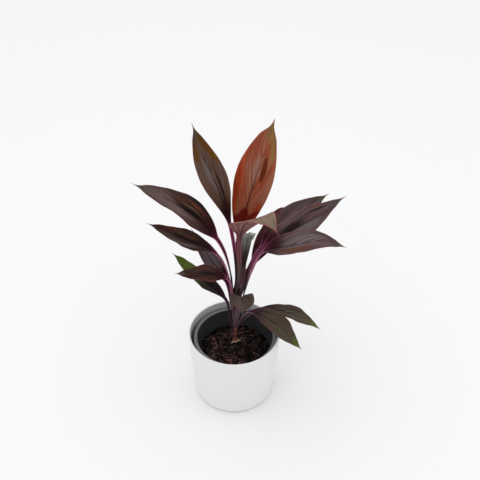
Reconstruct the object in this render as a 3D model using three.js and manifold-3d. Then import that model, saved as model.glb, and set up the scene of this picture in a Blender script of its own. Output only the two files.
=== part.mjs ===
// Potted ti plant with dark burgundy leaves, in a grow pot inside a cover pot. Millimetres, +Z up,
// with the origin at the middle of the cover pot's flat base.
import * as THREE from "three";
import { mergeVertices } from "three/addons/utils/BufferGeometryUtils.js";
import Module from "manifold-3d";

const wasm = await Module();
wasm.setup();

// Clearance between pieces that touch
const GAP = 0.3;

// Cover pot: its wall curves in towards the base by a power of the depth below the rim
const COVER = {
  topRadius: 70, baseRadius: 60.5, height: 122, wall: 2.6, floor: 4, corner: 7, innerCorner: 3, curve: 1.7,
  rimRound: 1.2, sides: 56, wallSteps: 5,
};

// Grow pot, which stands a little off the middle of the cover pot
const GROW = {
  centre: [1.5, 1], rimRadius: 64.2, mouthRadius: 58.9, baseRadius: 48.7, rimTop: 111, lipHeight: 8,
  wall: 1.2, edge: 0.6, corner: 2, sides: 48, drainRadius: 4, drainRing: 32, drains: 6, drainSides: 12,
};

// Soil, heaped and lumpy, with a plain hole for the cane. The lumps are waves of these lengths and
// phases, and flatten towards the edge by a power of the distance from the middle.
const SOIL = {
  edgeTop: 79, rise: 5.5, rings: 5, corner: 3, holeBottom: 60, holeSides: 16, lump: 1.1, fineShare: 0.6,
  coarse: [7.1, 6.3], fine: [3.4, 4.3], phases: [1.3, -0.4, 2.1], edgePower: 4,
};

// Cane, with the scars of shed leaves on its bare foot and a crown where the roots start
const CANE = {
  centre: [2, 16], radius: 2.8, footRadius: 2.6, footTop: 100, top: 192, tipHeight: 4, tipRound: 1.2,
  crownLow: 86.4, crownTop: 92, crownRadius: 4.8, crownEdge: 0.6, scars: [95, 98.5], scarHigh: 0.35,
  scarStep: 1.1, sides: 14,
};

// Leaf sections: a channelled petiole that opens into a thin blade with a rib below its middle
const PETIOLE = {
  halfAngle: 62, sheathArc: 2, sheathAngle: 46, sheathShare: 0.22, wall: 1, gap: 0.35, rise: 6, lean: 1,
  turnFrom: 0.1, rollFrom: 0.3,
};
const BLADE = {
  thickness: 0.8, rib: 0.9, opens: 0.12, tipTo: 0.97, tipAt: 0.985, tipHalf: 0.5, waves: 2.3, phase: 0.3,
};
const STEPS = { petiole: 7, petiolePower: 1.3, blade: 14, across: 3, curve: 60 };

// Leaves from the lowest to the youngest. node is the height on the cane and side the compass angle
// at which the leaf leaves it. The midrib passes via (on the petiole), foot (where the blade starts),
// bows and tip. arc is the petiole's half width round its channel, low and at the foot, fold is the
// angle of the V at foot, middle and tip, and roll turns the blade. From tipFrom the blade is pinched
// into its thin tip by the share pinch.
const LEAVES = [
  { node: 104, side: 165, via: [[-8, 22, 148]], foot: [-14, 24, 170], bows: [[-55, 40, 201]],
    tip: [-95, 52, 242], width: 36, roll: [0, -10, 0] },
  { node: 108, side: 66, foot: [39, 24, 147], bows: [[84, 27, 137], [114, 26, 122]], tip: [138, 24, 100],
    width: 32, roll: [0, -2, 4], widest: 0.5 },
  { node: 114, side: -22, via: [[12, 10, 143]], foot: [25, 8, 158], bows: [[66, -8, 145]],
    tip: [105, -30, 112], width: 42 },
  { node: 121, side: -110, via: [[3, 6, 140]], foot: [8, 4, 177], bows: [[11, -14, 211], [13, -32, 214]],
    tip: [12, -49, 206], width: 37, heading: -88, fold: [36, 28, 12], widest: 0.66, fullness: 0.5, wave: 0.4,
    tipFrom: 0.74, pinch: 0.92 },
  { node: 130, side: 230, via: [[-1, 8, 160], [-3, 5, 200]], foot: [-10, -1, 236], bows: [[-44, -6, 250]],
    tip: [-89, -8, 253], width: 36, fold: [30, 12, 6], fullness: 1.3 },
  { node: 136, side: 132, via: [[-5, 22, 170]], foot: [-11, 28, 202], bows: [[-34, 42, 234]],
    tip: [-65, 56, 287], width: 28, heading: 125 },
  { node: 142, side: -10, via: [[11, 13, 168], [17, 13, 199], [28, 13, 241]], foot: [44, 12, 278],
    bows: [[80, 4, 296], [128, -4, 314]], tip: [165, -6, 302], width: 54, arc: [2.8, 3.2], widest: 0.38 },
  { node: 148, side: 205, via: [[-5, 13, 190], [-8, 15, 225]], foot: [-25, 17, 268], bows: [[-74, 14, 302]],
    tip: [-127, 10, 337], width: 36, arc: [2.6, 3.2], roll: [0, 12, 0], fullness: 1.2 },
  { node: 153, side: 18, via: [[9, 19, 175], [16, 19, 200], [25, 20, 236]], foot: [43, 24, 273],
    bows: [[108, 44, 309]], tip: [165, 50, 355], width: 44, roll: [0, -24, 0] },
  { node: 158, side: 114, via: [[9, 29, 202]], foot: [27, 35, 230], bows: [[52, 54, 266], [84, 86, 288]],
    tip: [115, 118, 247], width: 42 },
  { node: 161, side: -48, via: [[11, 8, 198], [14.5, 12, 223]], foot: [15, 13, 240],
    bows: [[18, 15, 285], [23, 22, 306]], tip: [29, 50, 266], width: 21, heading: -70,
    arc: [2.6, 3.2], fold: [48, 40, 20], wave: 0.3 },
  { node: 169, side: 38, via: [[12, 24, 197], [17, 26, 212], [26, 29, 239]], foot: [41, 37, 264],
    bows: [[93, 68, 301]], tip: [143, 82, 333], width: 42, roll: [0, -30, -10] },
  { node: 173, side: 205, via: [[-3, 15, 203], [-6, 19, 234]], foot: [-24, 23, 292], bows: [[-77, 32, 348]],
    tip: [-147, 34, 391], width: 54, arc: [2.8, 3.4], roll: [30, 0, 0], widest: 0.44, fullness: 1.2 },
  { node: 178, side: -76, via: [[5.5, 10.5, 205], [9, 8, 240]], foot: [9, 6, 303],
    bows: [[14, -1, 340], [27, -11, 361], [47, -25, 375]], tip: [65, -46, 358], width: 59,
    arc: [3, 3.2], roll: [4, 4, -5, -9, 24], heading: -74, fold: [14, 0, 0], widest: 0.48, wave: 0.3,
    fullness: 2 },
  { node: 183, side: 130, via: [[3, 17, 212], [3, 18, 250]], foot: [-4, 16, 319],
    bows: [[-17, 28, 368], [-43, 40, 438]], tip: [-58, 44, 492], width: 40, arc: [2.2, 2.6],
    heading: 112, widest: 0.5, fullness: 1.4 },
  { node: 188, side: 45, via: [[6, 23, 215]], foot: [7, 30, 286], bows: [[33, 46, 394]],
    tip: [58, 52, 492], width: 60, arc: [2.6, 3.2], fold: [38, 24, 12], roll: [0, 14, 17, 14],
    heading: 78, widest: 0.5, fullness: 1 },
];
const LEAF_DEFAULTS = {
  via: [], arc: [2.2, 3.2], fold: [38, 14, 6], roll: [0], widest: 0.42, fullness: 1.12, wave: 1.2,
  tipFrom: 0.84, pinch: 0.7,
};

const MATERIALS = {
  cover_pot: { color: 0xdcdcda, roughness: 0.45, metalness: 0 },
  grow_pot: { color: 0x2c2e31, roughness: 0.5, metalness: 0 },
  soil: { color: 0x2a1c15, roughness: 1, metalness: 0 },
  cane: { color: 0x6d3a33, roughness: 0.8, metalness: 0 },
  leaf: { color: 0x4a2c33, roughness: 0.4, metalness: 0 },
};

const radians = THREE.MathUtils.degToRad;
const lerp = THREE.MathUtils.lerp;

// Smooth step from 0 at low to 1 at high
function ease(low, high, x) {
  return THREE.MathUtils.smoothstep(x, low, high);
}

// Value at share t (0 to 1) of a list of evenly spaced values
function sample(values, t) {
  const place = t * (values.length - 1);
  const index = Math.min(Math.floor(place), Math.max(values.length - 2, 0));
  return lerp(values[index], values[Math.min(index + 1, values.length - 1)], place - index);
}

function namedMesh(name, geometry, material) {
  const mesh = new THREE.Mesh(geometry, new THREE.MeshStandardMaterial(material));
  mesh.name = name;
  return mesh;
}

// Round body about +Z from [radius, height] points that start and end on the axis
function turned(profile, sides) {
  const points = profile.map(([radius, height]) => new THREE.Vector2(radius, height));
  return new THREE.LatheGeometry(points, sides).rotateX(Math.PI / 2);
}

function solid(geometry) {
  const bare = geometry.clone();
  bare.deleteAttribute("normal");
  bare.deleteAttribute("uv");
  const merged = mergeVertices(bare, 1e-4);
  return new wasm.Manifold(new wasm.Mesh({
    numProp: 3,
    vertProperties: new Float32Array(merged.attributes.position.array),
    triVerts: new Uint32Array(merged.index.array),
  }));
}

function geometryOf(body) {
  const mesh = body.getMesh();
  const geometry = new THREE.BufferGeometry();
  geometry.setAttribute("position", new THREE.BufferAttribute(mesh.vertProperties, 3));
  geometry.setIndex(new THREE.BufferAttribute(mesh.triVerts, 1));
  geometry.computeVertexNormals();
  return geometry;
}

// Upright cylinder used as a cutter
function plug(radius, low, high, x, y, sides) {
  const geometry = new THREE.CylinderGeometry(radius, radius, high - low, sides).rotateX(Math.PI / 2);
  return solid(geometry.translate(x, y, (low + high) / 2));
}

// Outer radius of the cover pot at a height
function coverRadius(height) {
  const share = (COVER.height - height) / (COVER.height - COVER.corner);
  return COVER.topRadius - (COVER.topRadius - COVER.baseRadius) * Math.max(share, 0) ** COVER.curve;
}

function coverPot() {
  const { height, wall, floor, corner, innerCorner, rimRound, wallSteps } = COVER;
  const foot = coverRadius(corner);
  const profile = [[0, 0], [foot - corner, 0]];
  for (const turn of [30, 60]) {
    const angle = radians(turn);
    profile.push([foot - corner + corner * Math.sin(angle), corner * (1 - Math.cos(angle))]);
  }
  const wallHeights = [];
  for (let step = 0; step <= wallSteps; step += 1) {
    wallHeights.push(lerp(corner, height - rimRound, step / wallSteps));
  }
  wallHeights.forEach((z) => profile.push([coverRadius(z), z]));
  const rimMiddle = COVER.topRadius - wall / 2;
  for (const turn of [45, 90, 135]) {
    const angle = radians(turn);
    profile.push([rimMiddle + (wall / 2) * Math.cos(angle), height - rimRound * (1 - Math.sin(angle))]);
  }
  const inner = wallHeights.reverse().filter((z) => z > corner + floor);
  inner.forEach((z) => profile.push([coverRadius(z) - wall, z]));
  const innerFoot = coverRadius(floor + innerCorner) - wall;
  profile.push([innerFoot, floor + innerCorner], [innerFoot - innerCorner, floor], [0, floor]);
  return turned(profile, COVER.sides);
}

// Inner radius of the grow pot at a height
function growInner(height) {
  const low = COVER.floor + GAP + GROW.wall;
  return lerp(GROW.baseRadius - GROW.wall, GROW.mouthRadius, (height - low) / (GROW.rimTop - low));
}

function growPot() {
  const { rimRadius, rimTop, lipHeight, wall, edge, corner, baseRadius } = GROW;
  const base = COVER.floor + GAP;
  const lipLow = rimTop - lipHeight;
  const outerTop = growInner(rimTop - wall) + wall;
  const profile = [
    [0, base], [baseRadius - corner, base], [baseRadius, base + corner],
    [outerTop, rimTop - wall], [rimRadius - wall, rimTop - wall], [rimRadius - wall, lipLow],
    [rimRadius, lipLow], [rimRadius, rimTop - edge], [rimRadius - edge, rimTop],
    [GROW.mouthRadius + edge, rimTop], [growInner(rimTop - edge), rimTop - edge],
    [growInner(base + corner + wall), base + corner + wall], [baseRadius - corner - wall, base + wall],
    [0, base + wall],
  ];
  let body = solid(turned(profile, GROW.sides));
  for (let hole = 0; hole < GROW.drains; hole += 1) {
    const angle = (2 * Math.PI * hole) / GROW.drains;
    const x = GROW.drainRing * Math.cos(angle);
    const y = GROW.drainRing * Math.sin(angle);
    body = body.subtract(plug(GROW.drainRadius, base - wall, base + 2 * wall, x, y, GROW.drainSides));
  }
  return geometryOf(body).translate(...GROW.centre, 0);
}

// Height of the lumps on the soil at a point, fading to nothing at its edge
function soilLumps(x, y, share) {
  const { lump, fineShare, phases, edgePower } = SOIL;
  const coarse = Math.sin(x / SOIL.coarse[0] + phases[0]) * Math.cos(y / SOIL.coarse[1] + phases[1]);
  const fine = Math.sin(x / SOIL.fine[0] - y / SOIL.fine[1] + phases[2]);
  return lump * (coarse + fineShare * fine) * (1 - share ** edgePower);
}

function soilBody() {
  const low = COVER.floor + 2 * GAP + GROW.wall;
  const { edgeTop, rise, rings, corner } = SOIL;
  const shoulder = low + corner;
  const profile = [[0, low], [growInner(low) - corner, low], [growInner(shoulder) - GAP, shoulder]];
  profile.push([growInner(edgeTop) - GAP, edgeTop]);
  const edgeRadius = growInner(edgeTop) - GAP;
  for (let ring = rings - 1; ring >= 0; ring -= 1) {
    const share = ring / rings;
    profile.push([edgeRadius * share, edgeTop + rise * (1 - share ** 2)]);
  }
  const geometry = turned(profile, GROW.sides);
  const places = geometry.attributes.position;
  for (let i = 0; i < places.count; i += 1) {
    const share = Math.hypot(places.getX(i), places.getY(i)) / edgeRadius;
    if (places.getZ(i) > edgeTop && share < 1) {
      places.setZ(i, places.getZ(i) + soilLumps(places.getX(i), places.getY(i), share));
    }
  }
  geometry.translate(...GROW.centre, 0);
  const above = edgeTop + 2 * rise;
  const hole = plug(CANE.footRadius + GAP, SOIL.holeBottom, above, ...CANE.centre, SOIL.holeSides);
  return geometryOf(solid(geometry).subtract(hole));
}

function cane() {
  const { radius, footRadius, footTop, top, tipHeight, tipRound } = CANE;
  const { crownLow, crownTop, crownRadius, crownEdge, scars, scarHigh, scarStep } = CANE;
  const low = SOIL.holeBottom + GAP;
  const profile = [[0, low], [footRadius - tipRound, low], [footRadius, low + tipRound]];
  profile.push([footRadius, crownLow - crownEdge], [crownRadius - crownEdge, crownLow]);
  profile.push([crownRadius, crownLow + 2 * crownEdge], [footRadius, crownTop]);
  for (const height of scars) {
    const scarRadius = footRadius + scarHigh;
    profile.push([footRadius, height - scarStep], [scarRadius, height], [footRadius, height + scarStep]);
  }
  profile.push([radius, footTop + scarStep], [radius, top - tipHeight]);
  profile.push([radius - tipRound, top - tipRound], [0, top]);
  return turned(profile, CANE.sides).translate(...CANE.centre, 0);
}

// Midrib of a leaf, with the share of its length at which the blade starts
function midrib(leaf) {
  const angle = radians(leaf.side);
  const reach = CANE.radius + PETIOLE.gap;
  const start = new THREE.Vector3(
    CANE.centre[0] + reach * Math.cos(angle), CANE.centre[1] + reach * Math.sin(angle), leaf.node);
  const { lean, rise } = PETIOLE;
  const leaves = start.clone().add(new THREE.Vector3(lean * Math.cos(angle), lean * Math.sin(angle), rise));
  const route = [...leaf.via, leaf.foot, ...leaf.bows, leaf.tip].map((p) => new THREE.Vector3(...p));
  const curve = new THREE.CatmullRomCurve3([start, leaves, ...route]);
  const spans = route.length + 1;
  curve.arcLengthDivisions = STEPS.curve * spans;
  const lengths = curve.getLengths();
  const footAt = lengths[STEPS.curve * (2 + leaf.via.length)] / lengths[lengths.length - 1];
  return { curve, footAt };
}

// Half width of the blade at share b of its length
function bladeHalf(leaf, b) {
  const power = Math.log(0.5) / Math.log(leaf.widest);
  const bulge = Math.max(Math.sin(Math.PI * b ** power), 0) ** leaf.fullness;
  return (leaf.width / 2) * bulge * (1 - leaf.pinch * ease(leaf.tipFrom, BLADE.tipTo, b));
}

// Direction across the leaf and out of its upper face, at share p of the petiole and b of the blade
function leafAxes(leaf, tangent, p, b) {
  const { foot, tip } = leaf;
  const heading = leaf.heading ?? THREE.MathUtils.radToDeg(Math.atan2(tip[1] - foot[1], tip[0] - foot[0]));
  const turn = ((((heading - leaf.side + 180) % 360) + 360) % 360) - 180;
  const angle = radians(leaf.side + turn * ease(PETIOLE.turnFrom, 1, p));
  const across = new THREE.Vector3(Math.sin(angle), -Math.cos(angle), 0);
  across.addScaledVector(tangent, -across.dot(tangent)).normalize();
  const roll = radians(sample(leaf.roll, b)) * ease(PETIOLE.rollFrom, 1, p);
  across.applyAxisAngle(tangent, -roll);
  return { across, up: new THREE.Vector3().crossVectors(across, tangent) };
}

// Upper and lower points of the leaf's section, from one margin to the other
function leafSection(leaf, point, tangent, p, b) {
  const { across, up } = leafAxes(leaf, tangent, p, b);
  const open = ease(0, BLADE.opens, b);
  const sheath = 1 - ease(0, PETIOLE.sheathShare, p);
  const stalkArc = lerp(...leaf.arc, ease(PETIOLE.sheathShare, 1, p));
  const stalkHalf = lerp(stalkArc, PETIOLE.sheathArc, sheath) * (1 - b) ** 2;
  const half = Math.max(Math.hypot(bladeHalf(leaf, b), stalkHalf), BLADE.tipHalf);
  const fold = radians(sample(leaf.fold, b));
  const inner = lerp(0, fold, open);
  const stalkAngle = radians(lerp(PETIOLE.halfAngle, PETIOLE.sheathAngle, sheath));
  const outer = lerp(stalkAngle, fold / 4 + 0.001, open);
  const thickness = lerp(PETIOLE.wall, BLADE.thickness, open);
  const rib = BLADE.rib * open * (1 - b);
  const upper = [];
  const lower = [];
  for (let step = -STEPS.across; step <= STEPS.across; step += 1) {
    const u = Math.abs(step) / STEPS.across;
    const bend = lerp(inner, outer, u);
    const sideways = (Math.sign(step) * half * (Math.sin(bend) - Math.sin(inner))) / (outer - inner);
    const swing = Math.sin(2 * Math.PI * (BLADE.waves * b + (step > 0 ? BLADE.phase : 0)));
    const wave = leaf.wave * u * u * swing * open * Math.sin(Math.PI * b);
    const height = (half * (Math.cos(inner) - Math.cos(bend))) / (outer - inner) + wave;
    const top = point.clone().addScaledVector(across, sideways).addScaledVector(up, height);
    const bottom = top.clone();
    if (step === 0) {
      bottom.addScaledVector(up, -(thickness / Math.cos(inner) + rib));
    } else {
      bottom.addScaledVector(across, Math.sign(step) * Math.sin(bend) * thickness);
      bottom.addScaledVector(up, -Math.cos(bend) * thickness);
    }
    upper.push(top);
    lower.push(bottom);
  }
  return { upper, lower };
}

// Shares along the petiole (p) and along the blade (b) at which a leaf has its sections
function leafStations() {
  const stations = [];
  for (let step = 0; step < STEPS.petiole; step += 1) {
    stations.push({ p: (step / STEPS.petiole) ** STEPS.petiolePower, b: 0 });
  }
  for (let step = 0; step <= STEPS.blade; step += 1) {
    stations.push({ p: 1, b: (step / STEPS.blade) * BLADE.tipAt });
  }
  return stations;
}

function leafBody(leaf) {
  const { curve, footAt } = midrib(leaf);
  const rows = leafStations().map(({ p, b }) => {
    const along = b > 0 ? lerp(footAt, 1, b) : footAt * p;
    return leafSection(leaf, curve.getPointAt(along), curve.getTangentAt(along), p, b);
  });
  const count = 2 * STEPS.across + 1;
  const positions = rows.flatMap(({ upper, lower }) => [...upper, ...lower]).flatMap((v) => v.toArray());
  const top = (row, column) => row * 2 * count + column;
  const under = (row, column) => top(row, column) + count;
  const faces = [];
  const quad = (a, b, c, d) => faces.push(a, b, c, a, c, d);
  for (let row = 0; row + 1 < rows.length; row += 1) {
    for (let column = 0; column + 1 < count; column += 1) {
      quad(top(row, column), top(row, column + 1), top(row + 1, column + 1), top(row + 1, column));
      faces.push(under(row, column), under(row + 1, column + 1), under(row, column + 1));
      faces.push(under(row, column), under(row + 1, column), under(row + 1, column + 1));
    }
    quad(top(row, 0), top(row + 1, 0), under(row + 1, 0), under(row, 0));
    quad(top(row, count - 1), under(row, count - 1), under(row + 1, count - 1), top(row + 1, count - 1));
  }
  for (let column = 0; column + 1 < count; column += 1) {
    const last = rows.length - 1;
    quad(top(0, column), under(0, column), under(0, column + 1), top(0, column + 1));
    quad(top(last, column), top(last, column + 1), under(last, column + 1), under(last, column));
  }
  const geometry = new THREE.BufferGeometry();
  geometry.setAttribute("position", new THREE.Float32BufferAttribute(positions, 3));
  geometry.setIndex(faces);
  geometry.computeVertexNormals();
  return geometry;
}

const plant = new THREE.Group();
plant.add(namedMesh("cover_pot", coverPot(), MATERIALS.cover_pot));
plant.add(namedMesh("nursery_pot", growPot(), MATERIALS.grow_pot));
plant.add(namedMesh("soil", soilBody(), MATERIALS.soil));
plant.add(namedMesh("cane", cane(), MATERIALS.cane));
LEAVES.forEach((leaf, index) => {
  const name = `leaf_${String(index + 1).padStart(2, "0")}`;
  plant.add(namedMesh(name, leafBody({ ...LEAF_DEFAULTS, ...leaf }), MATERIALS.leaf));
});

export default plant;
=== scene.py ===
"""Potted ti plant with dark burgundy leaves, in a grow pot inside a pale cover pot.

The frame is in metres, +Z up, with the origin at the middle of the cover pot's flat base. The sizes
below are in millimetres and MM turns them into metres, so that they read like the plant's own sizes.
"""

import logging
import math
from dataclasses import dataclass, field
from enum import Enum
from itertools import combinations

import bpy
import numpy as np
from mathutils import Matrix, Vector, noise


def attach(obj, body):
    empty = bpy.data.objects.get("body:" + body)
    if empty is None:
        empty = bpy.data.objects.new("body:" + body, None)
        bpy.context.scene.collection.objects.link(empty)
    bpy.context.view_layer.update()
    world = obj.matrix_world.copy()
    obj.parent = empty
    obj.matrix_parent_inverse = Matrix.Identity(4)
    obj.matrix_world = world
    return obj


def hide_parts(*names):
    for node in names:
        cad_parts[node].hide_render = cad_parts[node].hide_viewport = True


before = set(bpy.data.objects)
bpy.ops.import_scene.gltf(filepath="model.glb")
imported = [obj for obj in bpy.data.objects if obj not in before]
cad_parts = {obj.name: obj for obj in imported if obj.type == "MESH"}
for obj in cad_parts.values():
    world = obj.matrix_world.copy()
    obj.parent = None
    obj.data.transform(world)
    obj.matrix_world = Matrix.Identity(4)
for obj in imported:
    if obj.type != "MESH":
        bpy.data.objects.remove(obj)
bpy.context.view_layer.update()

LOG = logging.getLogger("ti_plant")
BODY = "root"
MM = 0.001
SEED = 20

Colour = tuple[float, float, float]
Point = tuple[float, float, float]
Pair = tuple[float, float]
Band = tuple[float, float]
Faces = list[tuple[int, ...]]
Socket = bpy.types.NodeSocket


def ease(low: float, high: float, value: np.ndarray | float) -> np.ndarray | float:
    """Smooth step of a value, from 0 at low to 1 at high, of which high may be the smaller."""
    share = np.clip((value - low) / (high - low), 0, 1)
    return share * share * (3 - 2 * share)


def hump(value: np.ndarray, half: float) -> np.ndarray:
    """Bell that is 1 at 0 and about a third at half on either side."""
    return np.exp(-((value / half) ** 2))


def spread(values: tuple[float, ...], share: np.ndarray) -> np.ndarray:
    """Value at each share from 0 to 1 of a list of evenly spaced values."""
    return np.interp(share, np.linspace(0, 1, len(values)), values)


def once_round(sides: int) -> np.ndarray:
    """Angles of evenly spaced sides, once round."""
    return np.linspace(0, 2 * np.pi, sides, endpoint=False)


def unit(vectors: np.ndarray) -> np.ndarray:
    """The same directions with length 1."""
    return vectors / np.linalg.norm(vectors, axis=-1, keepdims=True)


def arc(centre: Pair, reach: Pair, start: float, end: float, steps: int) -> list[Pair]:
    """Radius and height of points on an ellipse, from start to end in degrees from straight out."""
    turns = np.radians(np.linspace(start, end, steps))
    return [(centre[0] + reach[0] * math.cos(turn), centre[1] + reach[1] * math.sin(turn)) for turn in turns]


def rounded(profile: list[Point], steps: int = 5) -> list[Pair]:
    """Rounds the corners of a profile.

    Args:
        profile: Radius and height of each corner, and how far from it the rounding starts.
        steps: How many points a rounded corner gets.

    Returns:
        Radius and height of each point of the rounded profile.
    """
    points = []
    for index, (radius, height, size) in enumerate(profile):
        corner = np.array([radius, height])
        if size == 0:
            points.append((radius, height))
            continue
        start = corner + unit(np.array(profile[index - 1][:2]) - corner) * size
        end = corner + unit(np.array(profile[index + 1][:2]) - corner) * size
        for turn in np.linspace(0, 1, steps):
            points.append(tuple((1 - turn) ** 2 * start + 2 * turn * (1 - turn) * corner + turn**2 * end))
    return points


def grid_faces(rows: int, columns: int, closed: bool = False, start: int = 0) -> Faces:
    """Quads over a grid of vertices that are numbered row by row.

    Args:
        rows: How many rows of vertices the grid has.
        columns: How many vertices a row has.
        closed: Whether the last column joins the first.
        start: The number of the grid's first vertex.

    Returns:
        The faces, each as four vertex numbers.
    """
    faces = []
    for row in range(rows - 1):
        for column in range(columns if closed else columns - 1):
            beside = (column + 1) % columns
            low = start + row * columns
            faces.append((low + column, low + beside, low + columns + beside, low + columns + column))
    return faces


def tube_faces(rows: int, sides: int) -> Faces:
    """Closes a tube of rings with a flat end at its first and last ring.

    Args:
        rows: How many rings the tube has.
        sides: How many vertices a ring has.

    Returns:
        The faces, which point out for a tube that goes up.
    """
    last = (rows - 1) * sides
    ends = [tuple(range(sides))[::-1], tuple(range(last, last + sides))]
    return grid_faces(rows, sides, closed=True) + ends


def capped_faces(rows: int, sides: int) -> Faces:
    """Closes a body of rings with its last two vertices, the poles at its first and last ring.

    Args:
        rows: How many rings the body has.
        sides: How many vertices a ring has.

    Returns:
        The faces, which point out for a body that goes up.
    """
    faces = grid_faces(rows, sides, closed=True)
    low, last = rows * sides, (rows - 1) * sides
    for side in range(sides):
        beside = (side + 1) % sides
        faces.append((low, beside, side))
        faces.append((last + side, last + beside, low + 1))
    return faces


def turned(profile: list[Pair], sides: int) -> tuple[np.ndarray, Faces]:
    """Turns a profile that starts and ends on the axis about +Z.

    Args:
        profile: Radius and height of each point.
        sides: How many sides the body has.

    Returns:
        The vertices and faces, which point out for a profile that goes up the outside.
    """
    radii, heights = (np.array(column)[1:-1, None] for column in zip(*profile))
    angles = once_round(sides)
    rings = np.stack([radii * np.cos(angles), radii * np.sin(angles), heights + 0 * angles], axis=-1)
    poles = [[0, 0, profile[0][1]], [0, 0, profile[-1][1]]]
    return np.concatenate([rings.reshape(-1, 3), poles]), capped_faces(len(radii), sides)


def ring_marks(marks: list[bool], sides: int) -> np.ndarray:
    """Mark of each vertex of a turned body, from one mark for each point of its profile."""
    return np.concatenate([np.repeat(marks[1:-1], sides), [marks[0], marks[-1]]]).astype(float)


def smooth_route(route: list[np.ndarray], steps: int = 60) -> np.ndarray:
    """Runs a centripetal Catmull-Rom curve through points.

    Args:
        route: The points, in order.
        steps: How many points the curve gets from each to the next.

    Returns:
        The curve's points, of which every point of route is one, steps apart.
    """
    ends = [2 * route[0] - route[1], *route, 2 * route[-1] - route[-2]]
    time = np.linspace(0, 1, steps, endpoint=False)[:, None]
    curve = []
    for before, start, end, after in zip(ends, ends[1:], ends[2:], ends[3:]):
        gaps = [np.sqrt(np.linalg.norm(b - a)) for a, b in ((before, start), (start, end), (end, after))]
        leaving = ((start - before) / gaps[0] - (end - before) / (gaps[0] + gaps[1])) * gaps[1] + end - start
        coming = ((after - end) / gaps[2] - (after - start) / (gaps[1] + gaps[2])) * gaps[1] + end - start
        square = 3 * (end - start) - 2 * leaving - coming
        cube = 2 * (start - end) + leaving + coming
        curve.append(start + leaving * time + square * time**2 + cube * time**3)
    return np.concatenate([*curve, [route[-1]]])


def placed(name: str, data: bpy.types.ID) -> bpy.types.Object:
    """Makes an object and puts it in the scene.

    Args:
        name: The object's name.
        data: The mesh, lamp or camera that it shows.

    Returns:
        The new object.
    """
    made = bpy.data.objects.new(name, data)
    bpy.context.scene.collection.objects.link(made)
    return made


@dataclass
class Piece:
    """A mesh of the plant, from its vertices in metres to its place in the frame."""

    name: str
    vertices: np.ndarray
    faces: Faces
    attributes: dict[str, np.ndarray] = field(default_factory=dict)
    smooth: bool = True

    def make(self, material: bpy.types.Material, slot: str, node: str | None = None) -> bpy.types.Object:
        """Makes the object and hands it to the frame.

        Args:
            material: The finish that the piece wears.
            slot: Not used.
            node: The solid that the piece stands for, if it stands for one.

        Returns:
            The new object, which rides on the plant's one body.
        """
        mesh = bpy.data.meshes.new(self.name)
        mesh.from_pydata(self.vertices.tolist(), [], self.faces)
        for name, values in self.attributes.items():
            kind, key = ("FLOAT_VECTOR", "vector") if values.ndim == 2 else ("FLOAT", "value")
            attribute = mesh.attributes.new(name, kind, "POINT")
            attribute.data.foreach_set(key, values.astype(np.float32).ravel())
        mesh.polygons.foreach_set("use_smooth", [self.smooth] * len(mesh.polygons))
        mesh.update()
        mesh.materials.append(material)
        piece = placed(self.name, mesh)
        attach(piece, BODY)
        if node:
            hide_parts(node)
        LOG.info("%s: %d faces", self.name, len(self.faces))
        return piece


@dataclass
class Tubes:
    """Thin round tubes with closed ends, gathered for one piece."""

    sides: int
    vertices: list[list[float]] = field(default_factory=list)
    faces: Faces = field(default_factory=list)
    steep: float = 0.9

    def add(self, path: np.ndarray, radii: np.ndarray) -> int:
        """Adds a tube along a path.

        Args:
            path: Points of its middle line.
            radii: Its radius at each point.

        Returns:
            How many vertices it has.
        """
        tangent = unit(np.gradient(path, axis=0))
        steep = np.abs(tangent[:, 2:]) > self.steep
        first = unit(np.cross(tangent, np.where(steep, [[1.0, 0, 0]], [[0, 0, 1.0]])))
        second = np.cross(tangent, first)
        angles = once_round(self.sides)[None, :, None]
        ring = first[:, None] * np.cos(angles) + second[:, None] * np.sin(angles)
        start = len(self.vertices)
        self.vertices += (path[:, None] + ring * radii[:, None, None]).reshape(-1, 3).tolist()
        self.faces += [tuple(start + corner for corner in face) for face in tube_faces(len(path), self.sides)]
        return len(self.vertices) - start


@dataclass(frozen=True)
class Grain:
    """A noise: its waves to a unit along each axis, its finer layers and how strong those are."""

    scale: Point
    layers: float = 3
    rough: float = 0.5


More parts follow.
